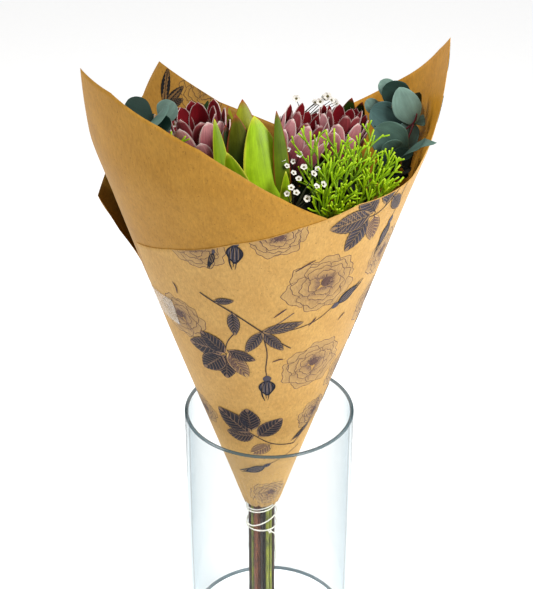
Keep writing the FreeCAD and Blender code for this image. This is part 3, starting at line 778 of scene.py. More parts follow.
def draw_spray(ink):
    """One repeat of the print: roses, buds and leafy twigs, placed on the flat sheet."""
    draw_stem(ink, [(-48, 331), (-22, 317), (1, 297), (14, 284), (24, 274)], 1.5)
    draw_stem(ink, [(-22, 317), (-18, 300), (-26, 282), (-29, 268)], 1.1)
    draw_stem(ink, [(1, 297), (5, 272), (4, 252), (5, 240)], 1.0)
    draw_stem(ink, [(1, 297), (22, 296), (44, 300), (60, 309)], 1.0)
    draw_stem(ink, [(1, 297), (14, 306), (26, 316)], 1.0, SLATE)
    draw_rose(ink, (48, 341), 30, 0.35)
    draw_rose(ink, (44, 243), 28, 1.2)
    draw_rose(ink, (-68, 288), 23, 2.2, 1.25)
    draw_rose(ink, (-50, 383), 24, 4.0)
    draw_rose(ink, (-42, 452), 24, 2.0)
    draw_leaf(ink, (-20, 436), (-2, 462), 16, "dark")
    draw_leaf(ink, (-20, 436), (6, 440), 13, "slate")
    draw_leaf(ink, (-66, 440), (-84, 466), 16, "dark")
    draw_bud(ink, (-66, 470), (-58, 496), 11)
    draw_bud(ink, (34, 452), (28, 476), 11)
    draw_rose(ink, (12, 404), 24, 5.2)
    draw_rose(ink, (7, 74), 17, 1.0)
    draw_rose(ink, (116, 330), 22, 2.6)
    draw_rose(ink, (82, 206), 22, 3.4)
    draw_rose(ink, (-58, 168), 17, 0.4, 1.2)
    draw_leaf(ink, (-30, 270), (-62, 262), 20, "dark")
    draw_leaf(ink, (-29, 266), (-50, 284), 17, "dark")
    draw_leaf(ink, (-31, 262), (-49, 237), 19, "dark")
    draw_leaf(ink, (-28, 264), (-28, 234), 16, "dark")
    draw_leaf(ink, (-26, 268), (-10, 240), 14, "tan")
    draw_leaf(ink, (-26, 270), (-4, 262), 11, "dark")
    draw_leaf(ink, (-22, 317), (-20, 290), 9, "slate")
    draw_leaf(ink, (1, 297), (34, 303), 10, "slate")
    draw_leaf(ink, (1, 297), (-12, 271), 9, "slate")
    draw_leaf(ink, (2, 296), (18, 273), 9, "slate")
    draw_leaf(ink, (-36, 326), (-20, 331), 6, "slate")
    draw_bud(ink, (5, 243), (5, 217), 14)
    draw_bud(ink, (58, 307), (84, 317), 12)
    draw_bud(ink, (-18, 398), (-19, 372), 13)
    draw_bud(ink, (-34, 384), (-38, 366), 5)
    draw_stem(ink, [(30, 140), (10, 150), (-6, 163), (-16, 172)], 1.2)
    draw_stem(ink, [(30, 140), (46, 158), (58, 188)], 1.0, SLATE)
    draw_leaf(ink, (-10, 166), (-38, 189), 21, "dark")
    draw_leaf(ink, (-8, 170), (-12, 199), 17, "dark")
    draw_leaf(ink, (-2, 162), (18, 184), 17, "dark")
    draw_leaf(ink, (-6, 162), (-31, 158), 17, "dark")
    draw_leaf(ink, (8, 150), (-9, 136), 13, "tan")
    draw_leaf(ink, (28, 146), (48, 157), 5, "dark")
    draw_bud(ink, (8, 121), (-14, 107), 9)
    draw_stem(ink, [(36, 132), (24, 128), (8, 121)], 0.9)
    draw_stem(ink, [(128, 408), (112, 398), (96, 392), (78, 396)], 1.2)
    draw_leaf(ink, (88, 396), (52, 398), 19, "slate")
    draw_leaf(ink, (86, 392), (66, 368), 17, "slate")
    draw_leaf(ink, (92, 392), (92, 364), 13, "tan")
    draw_leaf(ink, (92, 396), (78, 424), 17, "slate")
    draw_leaf(ink, (104, 396), (110, 424), 15, "slate")
    draw_leaf(ink, (112, 398), (124, 376), 11, "slate")
    draw_stem(ink, [(142, 410), (129, 398), (122, 382), (116, 370)], 1.0)
    draw_bud(ink, (117, 372), (105, 345), 12)
    for place, reach in (((26, 362), (16, 8)), ((20, 322), (-10, -9)), ((44, 304), (-6, -8)),
                         ((18, 262), (-9, -2)), ((66, 286), (7, 5)), ((-70, 316), (-4, 12))):
        start = np.asarray(place, float)
        path = rounded_path([start, start + vec(*reach) * 0.5 + 1.2, start + vec(*reach)], 5)
        ink.stroke(path, pen(len(path), 1.4), DUSK)


def draw_corner_sprig(ink):
    """Dark twig leaves beside a faint rose, on the inside of the back corner."""
    draw_rose(ink, (36, 420), 22, 0.6, 0.6)
    draw_leaf(ink, (-3, 418), (8, 447), 8, "dark")
    draw_leaf(ink, (-2, 416), (20, 428), 7, "dark")
    draw_leaf(ink, (-2, 414), (17, 417), 7, "dark")
    draw_stem(ink, [(-10, 400), (-4, 414), (4, 432)], 1.0)


# ---------------------------------------------------------------- paper


def flat_area(sheet):
    """The sheet's cut area on the flat, in square metres."""
    turns = np.linspace(sheet.corners[0][0], sheet.corners[-1][0], 720)
    swept = np.radians(np.gradient(turns)) * UNROLL
    return float(np.sum((sheet.top(turns) ** 2 - sheet.bottom ** 2) / 2 * swept)) * MM * MM


def make_sheet(name, sheet, node, looks, prints, drawing_side):
    """The sheet as a thin solid, and its print as a piece that goes with it."""
    piece = Piece()
    turns, slants = sheet_grid(sheet, SHEET_COLUMNS, SHEET_ROWS)
    hem = 0.9 * np.sin(np.radians(turns) * 9) + 0.7 * np.sin(np.radians(turns) * 17 + 1)
    slants = slants - hem * (1 - smooth(55, 75, slants))
    grid = sheet.place(turns, slants, 0.0)
    # The paper is made up to 16 % darker over its last 9 mm above the bottom edge.
    bottom_darkening = 1 - 0.16 * smooth(9, 0, slants - sheet.bottom)
    # Painted shade and painted light on the inner faces: the inner sheet's printed inside is
    # painted in shade at 0.8, deepening to 0.4 on its curled flap, and the outer sheet's inside is
    # painted lighter and warmer (1.45, 1.35, 0.95).
    flap = smooth(FLAP_START, FLAP_START + 10, turns)[..., None]
    inside = BARE * (0.8 - 0.4 * flap) if drawing_side < 0 else vec(1.45, 1.35, 0.95)
    piece.shell(grid, PAPER, bottom_darkening[..., None] * BARE, bottom_darkening[..., None] * inside, slots=(0, 1))
    paper = piece.make(name, looks, "wrap", (node,))
    drawing = Piece()
    for turn, draw, mirror in prints:
        ink = Print(sheet, drawing_side, turn, mirror)
        ink.piece = drawing
        draw(ink)
    print_piece = drawing.make(name + "_print", [looks[0 if drawing_side > 0 else 1]], "wrap",
                               flat=True)
    area = flat_area(sheet)
    return paper


def make_tape():
    """A strip of clear tape across the outer sheet's end."""
    low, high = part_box("clear_tape")
    piece = Piece()
    turns = np.linspace(-66.3, -46.7, 24)[None, :]
    slants = np.linspace(slant_at(low.z / MM + 0.4), slant_at(high.z / MM - 0.4), 14)[:, None]
    lift = 0.75 + 0.1 * np.sin(turns * 1.3 + slants * 0.3)
    grid = cone_point(turns, slants, lift)
    piece.shell(grid, 0.08, BARE)
    return piece.make("clear_tape_strip", [tape_look()], "wrap", ("clear_tape",))


def make_wrap():
    printed = paper_look("kraft_printed_side", (paint(196, 155, 88), paint(186, 144, 78)))
    plain = paper_look("kraft_plain_side", (paint(178, 131, 50), paint(166, 119, 40)))
    bottom = slant_at(151.0)
    outer = Sheet(OUTER_EDGE, OUTER_START, bottom, outer_lift)
    inner = Sheet(INNER_EDGE, (INNER_EDGE[0][0],) * 2, bottom + 1, inner_lift)
    repeat = 35.0 / UNROLL
    make_sheet("outer_kraft_sheet", outer, "outer_paper", [printed, plain],
               [(0.0, draw_spray, 1), (repeat, draw_spray, 1), (2 * repeat, draw_spray, 1)], 1)
    make_sheet("inner_kraft_sheet", inner, "inner_paper", [plain, plain],
               [(219.0, draw_corner_sprig, -1), (256.0, draw_corner_sprig, 1)], -1)
    make_tape()


# ---------------------------------------------------------------- vase


def make_vase():
    """The lathe-turned cylinder with a rounded lip and a thick floor."""
    low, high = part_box("vase")
    outside = (high.x - low.x) / 2 / MM
    tall = high.z / MM
    inside = outside - VASE_WALL
    lip, base = 1.7, 2.5
    profile = [(0, 0), (outside - base, 0)]
    for index in range(1, 7):
        turn = index * math.pi / 12
        profile.append((outside - base + base * math.sin(turn), base - base * math.cos(turn)))
    profile += [(outside, 60), (outside, tall * 0.5), (outside, tall - lip)]
    for index in range(1, 12):
        turn = index * math.pi / 12
        profile.append((outside - VASE_WALL / 2 + VASE_WALL / 2 * math.cos(turn),
                        tall - lip + lip * math.sin(turn)))
    profile += [(inside, tall - lip), (inside, tall * 0.5), (inside, VASE_FLOOR + base)]
    for index in range(1, 7):
        turn = index * math.pi / 12
        profile.append((inside - base + base * math.cos(turn),
                        VASE_FLOOR + base - base * math.sin(turn)))
    profile.append((0, VASE_FLOOR))
    sides = 192
    turns = np.arange(sides) * 2 * math.pi / sides
    rings = np.array(profile[1:-1])
    x = rings[:, None, 0] * np.cos(turns)
    y = rings[:, None, 0] * np.sin(turns)
    z = np.broadcast_to(rings[:, None, 1], x.shape)
    points = np.stack([x, y, z], axis=-1).reshape(-1, 3)
    faces = grid_faces(len(rings), sides, closed=True)
    count = len(points)
    points = np.vstack([points, [(0, 0, 0), (0, 0, VASE_FLOOR)]])
    for side in range(sides):
        after = (side + 1) % sides
        faces.append((count, after, side))
        faces.append((count + 1, count - sides + side, count - sides + after))
    piece = Piece()
    piece.add(points, faces, BARE)
    height = points[:, 2]
    reach = np.hypot(points[:, 0], points[:, 1])
    edge = (height > tall - lip - 0.1) | ((height < base + 0.1) & (reach > outside - base - 0.1))
    piece.slots = [int(all(edge[index] for index in face)) for face in faces]
    return piece.make("glass_cylinder", [glass_look(), rim_look()], "vase", ("vase",))


# ---------------------------------------------------------------- string


def twisted(turns, run):
    """Three strands that wind round each other along the string."""
    return 0.8 + 0.2 * np.abs(np.cos(1.5 * (turns - run * 2 * math.pi / 6.0)))


def make_string():
    """Four turns, a knot and a loose end, all of one three-strand string."""
    look = [string_look()]
    white = paint(236, 232, 220)
    tilts = {"string_upper_turn": 12, "string_second_turn": 14, "string_loop_turn": 24,
             "string_lower_turn": 0}
    for node, tilt in tilts.items():
        low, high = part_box(node)
        centre = (low + high) / 2 / MM
        radius = (high.y - low.y) / 2 / MM - STRING_THICK / 2
        turns = np.radians(np.arange(0, 361, 2.0))
        rise = radius * np.cos(turns) * math.tan(math.radians(tilt))
        slack = 0.25 * np.sin(3 * turns + tilt)
        path = np.stack([centre.x + radius * np.cos(turns), centre.y + radius * np.sin(turns),
                         centre.z + rise + slack], axis=-1)
        piece = Piece()
        piece.tube(path, STRING_THICK / 2, white, 12, section=twisted)
        piece.make(node + "_twist", look, "bouquet", (node,))
    make_knot(look, white)
    make_tail(look, white)


def make_knot(look, white):
    """An overhand knot: three short turns of string round each other."""
    low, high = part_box("string_knot")
    centre = np.array((low + high) / 2) / MM
    half = np.array(high - low) / 2 / MM
    turns = np.linspace(0, 2 * math.pi, 90)
    path = np.stack([
        (np.sin(turns) + 1.6 * np.sin(2 * turns)) * half[0] * 0.28,
        -np.sin(3 * turns) * half[1] * 0.35,
        (np.cos(turns) - 1.6 * np.cos(2 * turns)) * half[2] * 0.3,
    ], axis=-1)
    piece = Piece()
    piece.tube(centre + path, STRING_THICK / 2 * 0.92, white, 12, section=twisted)
    piece.make("string_knot_wound", look, "bouquet", ("string_knot",))


def spline_path(points, name):
    """Points along the smooth line that a few control points give."""
    curve = bpy.data.curves.new(name, "CURVE")
    curve.dimensions = "3D"
    curve.resolution_u = 12
    spline = curve.splines.new("NURBS")
    spline.points.add(len(points) - 1)
    for target, point in zip(spline.points, points):
        target.co = (*point, 1)
    spline.order_u = 3
    spline.use_endpoint_u = True
    holder = bpy.data.objects.new(name, curve)
    bpy.context.scene.collection.objects.link(holder)
    mesh = bpy.data.meshes.new_from_object(holder)
    path = [tuple(vertex.co) for vertex in mesh.vertices]
    bpy.data.objects.remove(holder)
    bpy.data.meshes.remove(mesh)
    bpy.data.curves.remove(curve)
    return path


def make_tail(look, white):
    path = spline_path(TAIL, "tail_line")
    piece = Piece()
    piece.tube(np.array(path) / MM, STRING_THICK / 2, white, 12, section=twisted)
    tail = piece.make("string_tail_twist", look, "bouquet", ("string_tail",))


# ---------------------------------------------------------------- leaves and petals


def outline(t, base, peak, pointed):
    """Half width along a leaf: full at the peak, pointed or round at the tip."""
    rising = base + (1 - base) * np.sin(np.clip(t / peak, 0, 1) * math.pi / 2)
    past = np.clip((t - peak) / (1 - peak), 0, 1)
    falling = (1 - past ** (2.4 - 0.8 * pointed)) ** (0.5 + 0.5 * pointed)
    return np.where(t < peak, rising, falling)


ACROSS = np.array([-1, -0.93, -0.82, -0.6, -0.3, 0, 0.3, 0.6, 0.82, 0.93, 1])


def leaf_grid(base, tip, face, width, shape, bow=0.0, cup=0.15, twist=0.0, rows=20, curl=0.0):
    """Grid of a leaf from base to tip whose upper side looks towards face."""
    base, tip = np.asarray(base, float), np.asarray(tip, float)
    length = np.linalg.norm(tip - base)
    up = (tip - base) / length
    face = unit(np.asarray(face, float) - up * np.dot(face, up))
    side = np.cross(up, face)
    t = np.linspace(0, 1, rows)[:, None]
    half = np.maximum(width / 2 * outline(t, *shape), 0.12)
    turn = twist * (t - 0.3)
    sides = side * np.cos(turn)[..., None] + face * np.sin(turn)[..., None]
    outs = face * np.cos(turn)[..., None] - side * np.sin(turn)[..., None]
    sway = bow * length * np.sin(math.pi * t) + curl * length * t ** 2
    middle = base + up * (t * length)[..., None] + face * sway[..., None]
    shift = ACROSS * half
    dish = cup * half * ACROSS ** 2
    return middle + sides * shift[..., None] + outs * dish[..., None]


def leaf_marks(rows, width, length, mark):
    t = np.linspace(0, 1, rows)[:, None] * length
    return np.stack(np.broadcast_arrays(ACROSS * width / 2, t, mark * 37.0), axis=-1)


def add_leaf(piece, base, tip, face, width, shape, colours, thick=0.5, slot=0, **bend):
    """A leaf with four colours: base, middle, tip and margin, and how dark its back is."""
    low, mid, high, rim, back = colours
    grid = tucked(leaf_grid(base, tip, face, width, shape, **bend))
    rows = grid.shape[0]
    t = np.linspace(0, 1, rows)[:, None] + 0 * ACROSS
    s = np.abs(ACROSS) + 0 * t
    tint = lerp(low, mid, smooth(0.0, 0.45, t))
    tint = lerp(tint, high, smooth(0.55, 1.0, t))
    tint = lerp(tint, rim, smooth(0.86, 1.0, s))
    tint = lerp(tint, rim, smooth(0.93, 1.0, t))
    tint = tint * (1 - 0.14 * smooth(0.1, 0.0, s))[..., None]
    length = float(np.linalg.norm(np.asarray(tip, float) - np.asarray(base, float)))
    mark = dice.random()
    piece.shell(grid, thick, tint, tint * back, leaf_marks(rows, width, length, mark),
                (slot, slot))


class Stem:
    """Where a stem runs and how its head stands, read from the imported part."""

    def __init__(self, plant):
        self.plant = plant
        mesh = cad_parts[plant + "_stem"].data
        points = np.array([vertex.co for vertex in mesh.vertices], float) / MM
        low = points[points[:, 2] < points[:, 2].min() + 0.1]
        high = points[points[:, 2] > points[:, 2].max() - 2.0]
        self.foot = (low.min(0) + low.max(0)) / 2
        self.head = (high.min(0) + high.max(0)) / 2
        self.radius = (low[:, 0].max() - low[:, 0].min()) / 2
        away = (self.head - self.foot) * vec(1, 1, 0)
        reach = float(np.linalg.norm(away))
        self.out = away / max(reach, 1e-6)
        rise = self.head[2] - BEND_HEIGHT
        straight = math.sqrt((reach - BEND_RADIUS) ** 2 + rise ** 2 - BEND_RADIUS ** 2)
        self.lean = math.atan2(BEND_RADIUS, straight) + math.atan2(reach - BEND_RADIUS, rise)
        self.axis = self.out * math.sin(self.lean) + vec(0, 0, math.cos(self.lean))
        self.side = unit(np.cross(self.axis, vec(0, 1, 0.01)))
        self.front = np.cross(self.axis, self.side)

    def tilt(self, lean):
        """Turn the head's axis over to one side; the stem stays as it is."""
        self.axis = unit(self.axis + np.array(lean))
        self.side = unit(np.cross(self.axis, vec(0, 1, 0.01)))
        self.front = np.cross(self.axis, self.side)

    def path(self, extra=0.0):
        """Centre line from the foot to the head, and a little way on into it."""
        steps = [self.foot + vec(0, 0, 1) * share * (BEND_HEIGHT - self.foot[2])
                 for share in np.linspace(0, 1, 14)]
        corner = self.foot * vec(1, 1, 0) + vec(0, 0, BEND_HEIGHT)
        for share in np.linspace(0.15, 1, 6):
            turn = self.lean * share
            steps.append(corner + self.out * BEND_RADIUS * (1 - math.cos(turn))
                         + vec(0, 0, BEND_RADIUS * math.sin(turn)))
        start = steps[-1]
        for share in np.linspace(0.05, 1, 22):
            steps.append(start + (self.head - start) * share)
        steps.append(self.head + self.axis * extra)
        return np.array(steps)

    def size(self, part):
        """Reach and height of the head's solid, measured about its own axis."""
        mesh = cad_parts["%s_%s" % (self.plant, part)].data
        points = np.array([vertex.co for vertex in mesh.vertices], float) / MM - self.head
        along = points @ self.axis
        aside = np.linalg.norm(points - along[:, None] * self.axis, axis=1)
        return aside.max(), along.max()

    def spot(self, angle, out, high):
        """A place about the head's axis."""
        around = self.side * math.cos(angle) + self.front * math.sin(angle)
        return self.head + around * out + self.axis * high

    def around(self, angle):
        return self.side * math.cos(angle) + self.front * math.sin(angle)


def make_stem(stem, kind, look):
    """A stem with rings, scars and bark colour of its own."""
    colours = {
        "protea": (paint(84, 60, 50), paint(50, 32, 24)),
        "leucadendron": (paint(120, 62, 26), paint(72, 34, 14)),
        "eucalyptus": (paint(66, 42, 26), paint(44, 28, 20)),
        "greenery": (paint(132, 138, 22), paint(78, 84, 12)),
        "filler": (paint(48, 34, 24), paint(30, 20, 14)),
    }[kind]
    path = rounded_path(stem.path(4.0), 3)
    runs = np.r_[0, np.cumsum(np.linalg.norm(np.diff(path, axis=0), axis=1))]
    pitch = {"protea": 9.0, "leucadendron": 7.0, "eucalyptus": 26.0, "greenery": 30.0,
             "filler": 14.0}[kind]
    swell = {"protea": 0.1, "leucadendron": 0.08, "eucalyptus": 0.12, "greenery": 0.02,
             "filler": 0.08}[kind]
    knots = np.abs(np.sin(runs * math.pi / pitch + dice.uniform(0, 3))) ** 14
    radii = stem.radius * (0.96 - swell + swell * knots)
    radii = radii * (1 - 0.25 * smooth(200, 460, path[:, 2]))
    tint = lerp(colours[0], colours[1], 0.6 * knots + 0.3 * np.sin(runs * 0.11) ** 2)
    piece = Piece()
    piece.tube(path, radii, tint, 10)
    piece.make(stem.plant + "_twig", [look], "bouquet", (stem.plant + "_stem",))


# ---------------------------------------------------------------- proteas

# How tall each flower stands against its solid, which way it leans, and its bracts' width.
PROTEAS = {
    "protea_left": (1.13, (-0.02, -0.08, 0), 17.5),
    "protea_middle": (1.08, (0.34, 0.0, 0), 13.5),
    "protea_right": (0.98, (0.0, -0.12, 0), 14.0),
}


def make_protea(stem, looks):
    """A cup of overlapping boat-shaped bracts with silky white rims, round dark florets."""
    reach, tall = stem.size("bracts")
    stretch, lean, broad = PROTEAS[stem.plant]
    tall *= stretch
    stem.tilt(lean)
    maroon, dusk, pale = paint(72, 8, 22), paint(178, 84, 100), paint(230, 170, 174)
    silk, inside = paint(238, 222, 216), paint(118, 6, 20)
    bracts = Piece()
    rounds = [
        # foot height, tip height, foot out, waist out, tip out
        (0.0, 0.52, 0.18, 0.72, 0.86),
        (0.02, 0.8, 0.2, 0.9, 1.0),
        (0.08, 0.96, 0.28, 0.84, 0.92),
        (0.18, 1.0, 0.32, 0.66, 0.66),
    ]
    for ring, (low, high, out_low, out_mid, out_high) in enumerate(rounds):
        start = dice.uniform(0, 6)
        young = float(ring == len(rounds) - 1)
        width = broad - 0.6 * ring
        count = round(2 * math.pi * out_mid * reach / width)
        for index in range(count):
            angle = start + (index + dice.uniform(-0.2, 0.2)) * 2 * math.pi / count
            top = high * tall * dice.uniform(0.93, 1.02)
            rows = 20
            t = np.linspace(0, 1, rows)
            bend = np.sin(np.clip(t / 0.62, 0, 1) * math.pi / 2)
            out = out_low + (out_mid - out_low) * bend
            out = reach * (out + (out_high - out_mid) * smooth(0.55, 1.0, t))
            rise = low * tall + (top - low * tall) * t
            around = stem.around(angle)
            line = stem.head + around * out[:, None] + stem.axis * rise[:, None]
            along = unit(np.gradient(line, axis=0))
            side = np.cross(along, around)
            face = np.cross(side, along)
            wide = width * dice.uniform(1.0, 1.2)
            half = np.maximum(wide / 2 * outline(t, 0.4, 0.6, 0.12), 0.15)
            shift = half[:, None] * ACROSS
            dish = shift ** 2 / (1.1 * np.maximum(out, 6))[:, None]
            grid = (line[:, None] + side[:, None] * shift[..., None]
                    - face[:, None] * dish[..., None])
            level = t[:, None] + 0 * ACROSS
            rim = smooth(0.84, 1.0, np.abs(ACROSS)) * smooth(0.4, 0.9, level)
            height = rise[:, None] / tall + 0 * ACROSS
            tint = lerp(maroon, lerp(dusk, inside, 0.9 * young), smooth(0.15, 0.7, height))
            tint = lerp(tint, pale, smooth(0.6, 1.0, level) * 0.75 * (1 - 0.9 * young))
            edge = np.clip(rim + smooth(0.95, 1.0, level), 0, 1) * (0.85 - 0.45 * young)
            tint = lerp(tint, silk, edge)
            within = lerp(inside * 0.35, inside, smooth(0.2, 0.8, level))
            within = lerp(within, silk * 0.6, smooth(0.93, 1.0, np.abs(ACROSS)) * level)
            marks = leaf_marks(rows, wide, top, index + ring * 0.31)
            grid = tucked(grid)
            bracts.shell(grid, 0.7, tint, within, marks, (0, 1))
            add_fringe(bracts, grid, face, silk)
    bracts.make(stem.plant + "_bract_cup", looks, "bouquet",
                (stem.plant + "_bracts",))
    make_florets(stem, reach, tall, looks)


def add_fringe(piece, grid, face, silk):
    """Short white hairs along the upper rim of a bract."""
    rows = grid.shape[0]
    for edge in (0, -1):
        for row in range(rows // 2, rows - 1):
            for share in (0.0, 0.33, 0.66):
                root = grid[row, edge] * (1 - share) + grid[row + 1, edge] * share
                inner = grid[row, 5]
                away = unit(root - inner)
                lean = unit(grid[row + 1, edge] - grid[row, edge])
                length = dice.uniform(0.7, 1.7)
                tip = root + (away * dice.uniform(0.3, 0.8) + lean * 0.8
                              + face[row] * dice.uniform(-0.3, 0.3)) * length
                width = lean * 0.12
                depth = face[row] * 0.12
                points = [root - width - depth, root + width - depth, root + depth, tip]
                if np.dot(np.cross(width, depth), tip - root) < 0:
                    points[0], points[1] = points[1], points[0]
                sides = [(0, 2, 1), (0, 1, 3), (1, 2, 3), (2, 0, 3)]
                piece.add(points, sides, silk, np.zeros((4, 3)))


def make_florets(stem, reach, tall, looks):
    """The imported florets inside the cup: a dome of slim dark spikes with pale ends."""
    piece = Piece()
    core = reach - 7.0
    dark, red, tipped = paint(60, 6, 14), paint(118, 22, 34), paint(212, 180, 172)
    for index in range(150):
        angle = index * GOLDEN_TURN
        share = math.sqrt((index + 0.5) / 150)
        out = core * 0.86 * share
        top = tall * (0.62 - 0.14 * share ** 2) + dice.uniform(-1.5, 1.5)
        low = stem.spot(angle, out * 0.55, tall * 0.28)
        mid = stem.spot(angle, out, (tall * 0.28 + top) / 2)
        high = stem.spot(angle, out * 0.94, top)
        path = rounded_path([low, mid, high], 3)
        tint = lerp(lerp(dark, red, np.linspace(0, 1, len(path))), tipped,
                    smooth(0.8, 1.0, np.linspace(0, 1, len(path))) * 0.6)
        radii = 0.75 * np.linspace(1.1, 0.5, len(path))
        piece.tube(path, radii, tint, 5)
    cap = np.linspace(0, 1, 8)
    turns = np.arange(24) * 2 * math.pi / 24
    rings = np.array([[stem.spot(turn, core * 0.78 * share, tall * (0.5 - 0.16 * share ** 2))
                       for turn in turns] for share in np.maximum(cap[::-1], 0.02)])
    under = np.array([[stem.spot(turn, core * 0.78 * share, tall * 0.24) for turn in turns]
                      for share in (0.02, 1.0)])
    rings = np.concatenate([under, rings])
    piece.add(rings, grid_faces(len(rings), 24, closed=True), dark)
    piece.make(stem.plant + "_floret_core", looks, "bouquet",
               (stem.plant + "_florets",))


# ---------------------------------------------------------------- leucadendrons

LIME, OLIVE, FOREST = paint(152, 192, 4), paint(140, 146, 10), paint(28, 48, 4)
RED_EDGE, GOLD_EDGE = paint(150, 44, 30), paint(206, 204, 60)
LANCE = (0.6, 0.45, 0.65)      # outline of a lance-shaped leaf

# The leaves of the front leucadendron that show over the paper: foot, tip, width, the
# way the upper side looks, and the colours of foot, middle, tip and rim.
FRONT_LEAVES = [
    ((6, -60, 448), (-12, -33, 538), 35, (0.25, -1, 0.3), (FOREST, LIME, LIME, GOLD_EDGE)),
    ((-12, -50, 456), (-26, -30, 538), 27, (-0.3, -1, 0.2),
     (FOREST, FOREST, OLIVE * 0.4, RED_EDGE)),
    ((-14, -42, 458), (-21, -14, 544), 27, (0, -1, 0.2), (FOREST, OLIVE, OLIVE, RED_EDGE)),
    ((12, -52, 458), (5, -38, 544), 13, (0.2, -1, 0.2),
     (FOREST, LIME * 0.3, LIME * 0.35, RED_EDGE)),
    ((10, -64, 456), (12, -66, 507), 9, (0.3, -1, 0.2),
     (FOREST, LIME * 0.5, LIME * 0.8, GOLD_EDGE)),
]
SIDE_LEAVES = [
    ((-32, -50, 458), (-42, -34, 536), 12, (0.3, -1, 0.1),
     (FOREST, LIME * 0.6, LIME * 0.75, GOLD_EDGE)),
    ((-10, -62, 456), (-32, -61, 520), 20, (-0.3, -1, 0.4),
     (FOREST, LIME * 0.4, LIME * 0.6, GOLD_EDGE)),
    ((-22, -46, 456), (-34, -26, 528), 16, (0.2, -1, 0.1),
     (FOREST, FOREST, FOREST * 1.4, RED_EDGE)),
]
BACK_LEAVES = [
    ((56, 56, 470), (67, 42, 524), 18, (0.1, -1, 0.4), (FOREST, FOREST, FOREST * 1.3, RED_EDGE)),
    ((66, 60, 470), (76, 48, 518), 16, (-0.1, -1, 0.4), (FOREST, FOREST, FOREST * 0.8, RED_EDGE)),
]


def make_leucadendron(stem, look, listed=()):
    """A whorl of waxy lance-shaped leaves; the front one's leaves are placed one by one."""
    reach, tall = stem.size("leaves")
    tall *= 0.7 if "back" in stem.plant else 0.6
    piece = Piece()
    for foot, tip, width, face, (low, mid, high, rim) in listed:
        add_leaf(piece, foot, tip, face, width, LANCE, (low, mid, high, rim, 0.6), thick=0.7,
                 bow=0.05, cup=-0.16, twist=dice.uniform(-0.15, 0.15), rows=26)
    count = 9 if listed else 16
    blush = 0.0 if listed else 0.12
    for index in range(count):
        angle = index * GOLDEN_TURN + 1.0
        share = index / count
        height = tall * (0.02 + (0.18 if listed else 0.45) * share)
        foot = stem.spot(angle, 1.5, height)
        length = tall * (0.42 if listed else 0.62) * (0.75 + 0.35 * share)
        out = reach * (1.05 - 0.3 * share)
        tip = stem.spot(angle, out, height + length)
        face = -stem.around(angle) + stem.axis * 0.4
        tone = OLIVE * (0.35 + 0.5 * share) if not listed else FOREST
        width = reach * dice.uniform(0.8, 1.0)
        add_leaf(piece, foot, tip, face, width, LANCE,
                 (FOREST, tone, tone * 1.1 + blush * RED_EDGE, RED_EDGE, 0.7),
                 thick=0.6, bow=-0.07, cup=0.2, twist=dice.uniform(-0.3, 0.3))
    piece.make(stem.plant + "_foliage", [look], "bouquet",
               (stem.plant + "_leaves",))


# ---------------------------------------------------------------- eucalyptus

SAGE, PALE_SAGE = paint(80, 110, 100), paint(112, 142, 132)
BLUE_GREY, TEAL, DEEP = paint(70, 100, 98), paint(20, 48, 40), paint(14, 30, 30)
ROUND = (0.22, 0.45, 0.12)      # outline of a nearly round leaf
OVAL = (0.25, 0.42, 0.4)

# Leaves that show: foot, tip, width, the way the upper side looks, and colour.
EUCALYPTUS = {
    "eucalyptus_left": [
        ((-92, -2, 522), (-112, -8, 538), 25, (0.1, -0.6, 0.9), TEAL),
        ((-92, -8, 524), (-80, -24, 534), 26, (-0.2, -0.5, 1), SAGE),
        ((-94, -12, 520), (-76, -28, 525), 22, (0.2, -0.8, 0.7), TEAL),
        ((-86, 2, 522), (-75, 6, 534), 18, (0.2, -0.9, 0.4), PALE_SAGE * 0.8),
        ((-94, 8, 516), (-104, 14, 528), 22, (-0.2, 0.4, 0.9), TEAL),
        ((-88, 10, 512), (-78, 24, 518), 20, (0.3, 0.6, 0.8), SAGE),
    ],
    "eucalyptus_right": [
        ((114, 6, 516), (102, 15, 543), 23, (-0.1, -1, 0.25), PALE_SAGE),
        ((113, 22, 529), (90, 26, 538), 22, (0, -0.9, 0.3), TEAL),
        ((102, 34, 528), (89, 38, 540), 15, (-0.2, -0.8, 0.5), PALE_SAGE),
        ((116, 20, 510), (120, 28, 534), 20, (0.5, -0.9, 0.2), TEAL),
        ((106, 14, 511), (81, 22, 522), 26, (-0.1, -1, 0.15), BLUE_GREY),
        ((88, 30, 516), (78, 32, 526), 12, (0, -1, 0.3), PALE_SAGE * 0.9),
        ((108, -2, 496), (83, 0, 515), 30, (-0.2, -1, 0.2), SAGE * 0.9),
        ((106, 2, 496), (113, 11, 515), 22, (0.2, -0.9, 0.3), BLUE_GREY),
        ((115, 8, 516), (137, 12, 518), 13, (0.1, -0.35, 1), SAGE * 0.9),
        ((110, 14, 512), (116, 34, 520), 24, (0.4, 0.5, 0.8), TEAL),
    ],
    "eucalyptus_front": [
        ((104, -20, 499), (127, -50, 523), 15, (0, -0.4, 0.9), SAGE * 0.85),
        ((104, -4, 484), (88, -14, 492), 20, (-0.3, -0.9, 0.5), TEAL * 0.9),
        ((106, 0, 482), (127, 4, 484), 22, (0.2, -0.8, 0.5), DEEP),
        ((102, -2, 480), (85, -6, 478), 22, (-0.2, -0.8, 0.6), DEEP),
        ((104, -4, 478), (108, -20, 484), 20, (0.1, -0.8, 0.7), DEEP * 1.2),
        ((100, 0, 496), (92, -12, 508), 18, (-0.2, -1, 0.3), SAGE),
    ],
}
# Bare lengths of twig that show among the leaves.
EUCALYPTUS_TWIGS = {
    "eucalyptus_left": [[(-97, 3, 486), (-93, 4, 508), (-90, 0, 526)]],
    "eucalyptus_right": [[(95, 27, 495), (97, 20, 515), (98, 16, 531)],
                         [(96, 27, 495), (103, 10, 505), (114, 6, 517), (116, 4, 525)]],
    "eucalyptus_front": [[(93, -14, 471), (100, -6, 484), (107, -1, 498), (114, 5, 516)]],
}


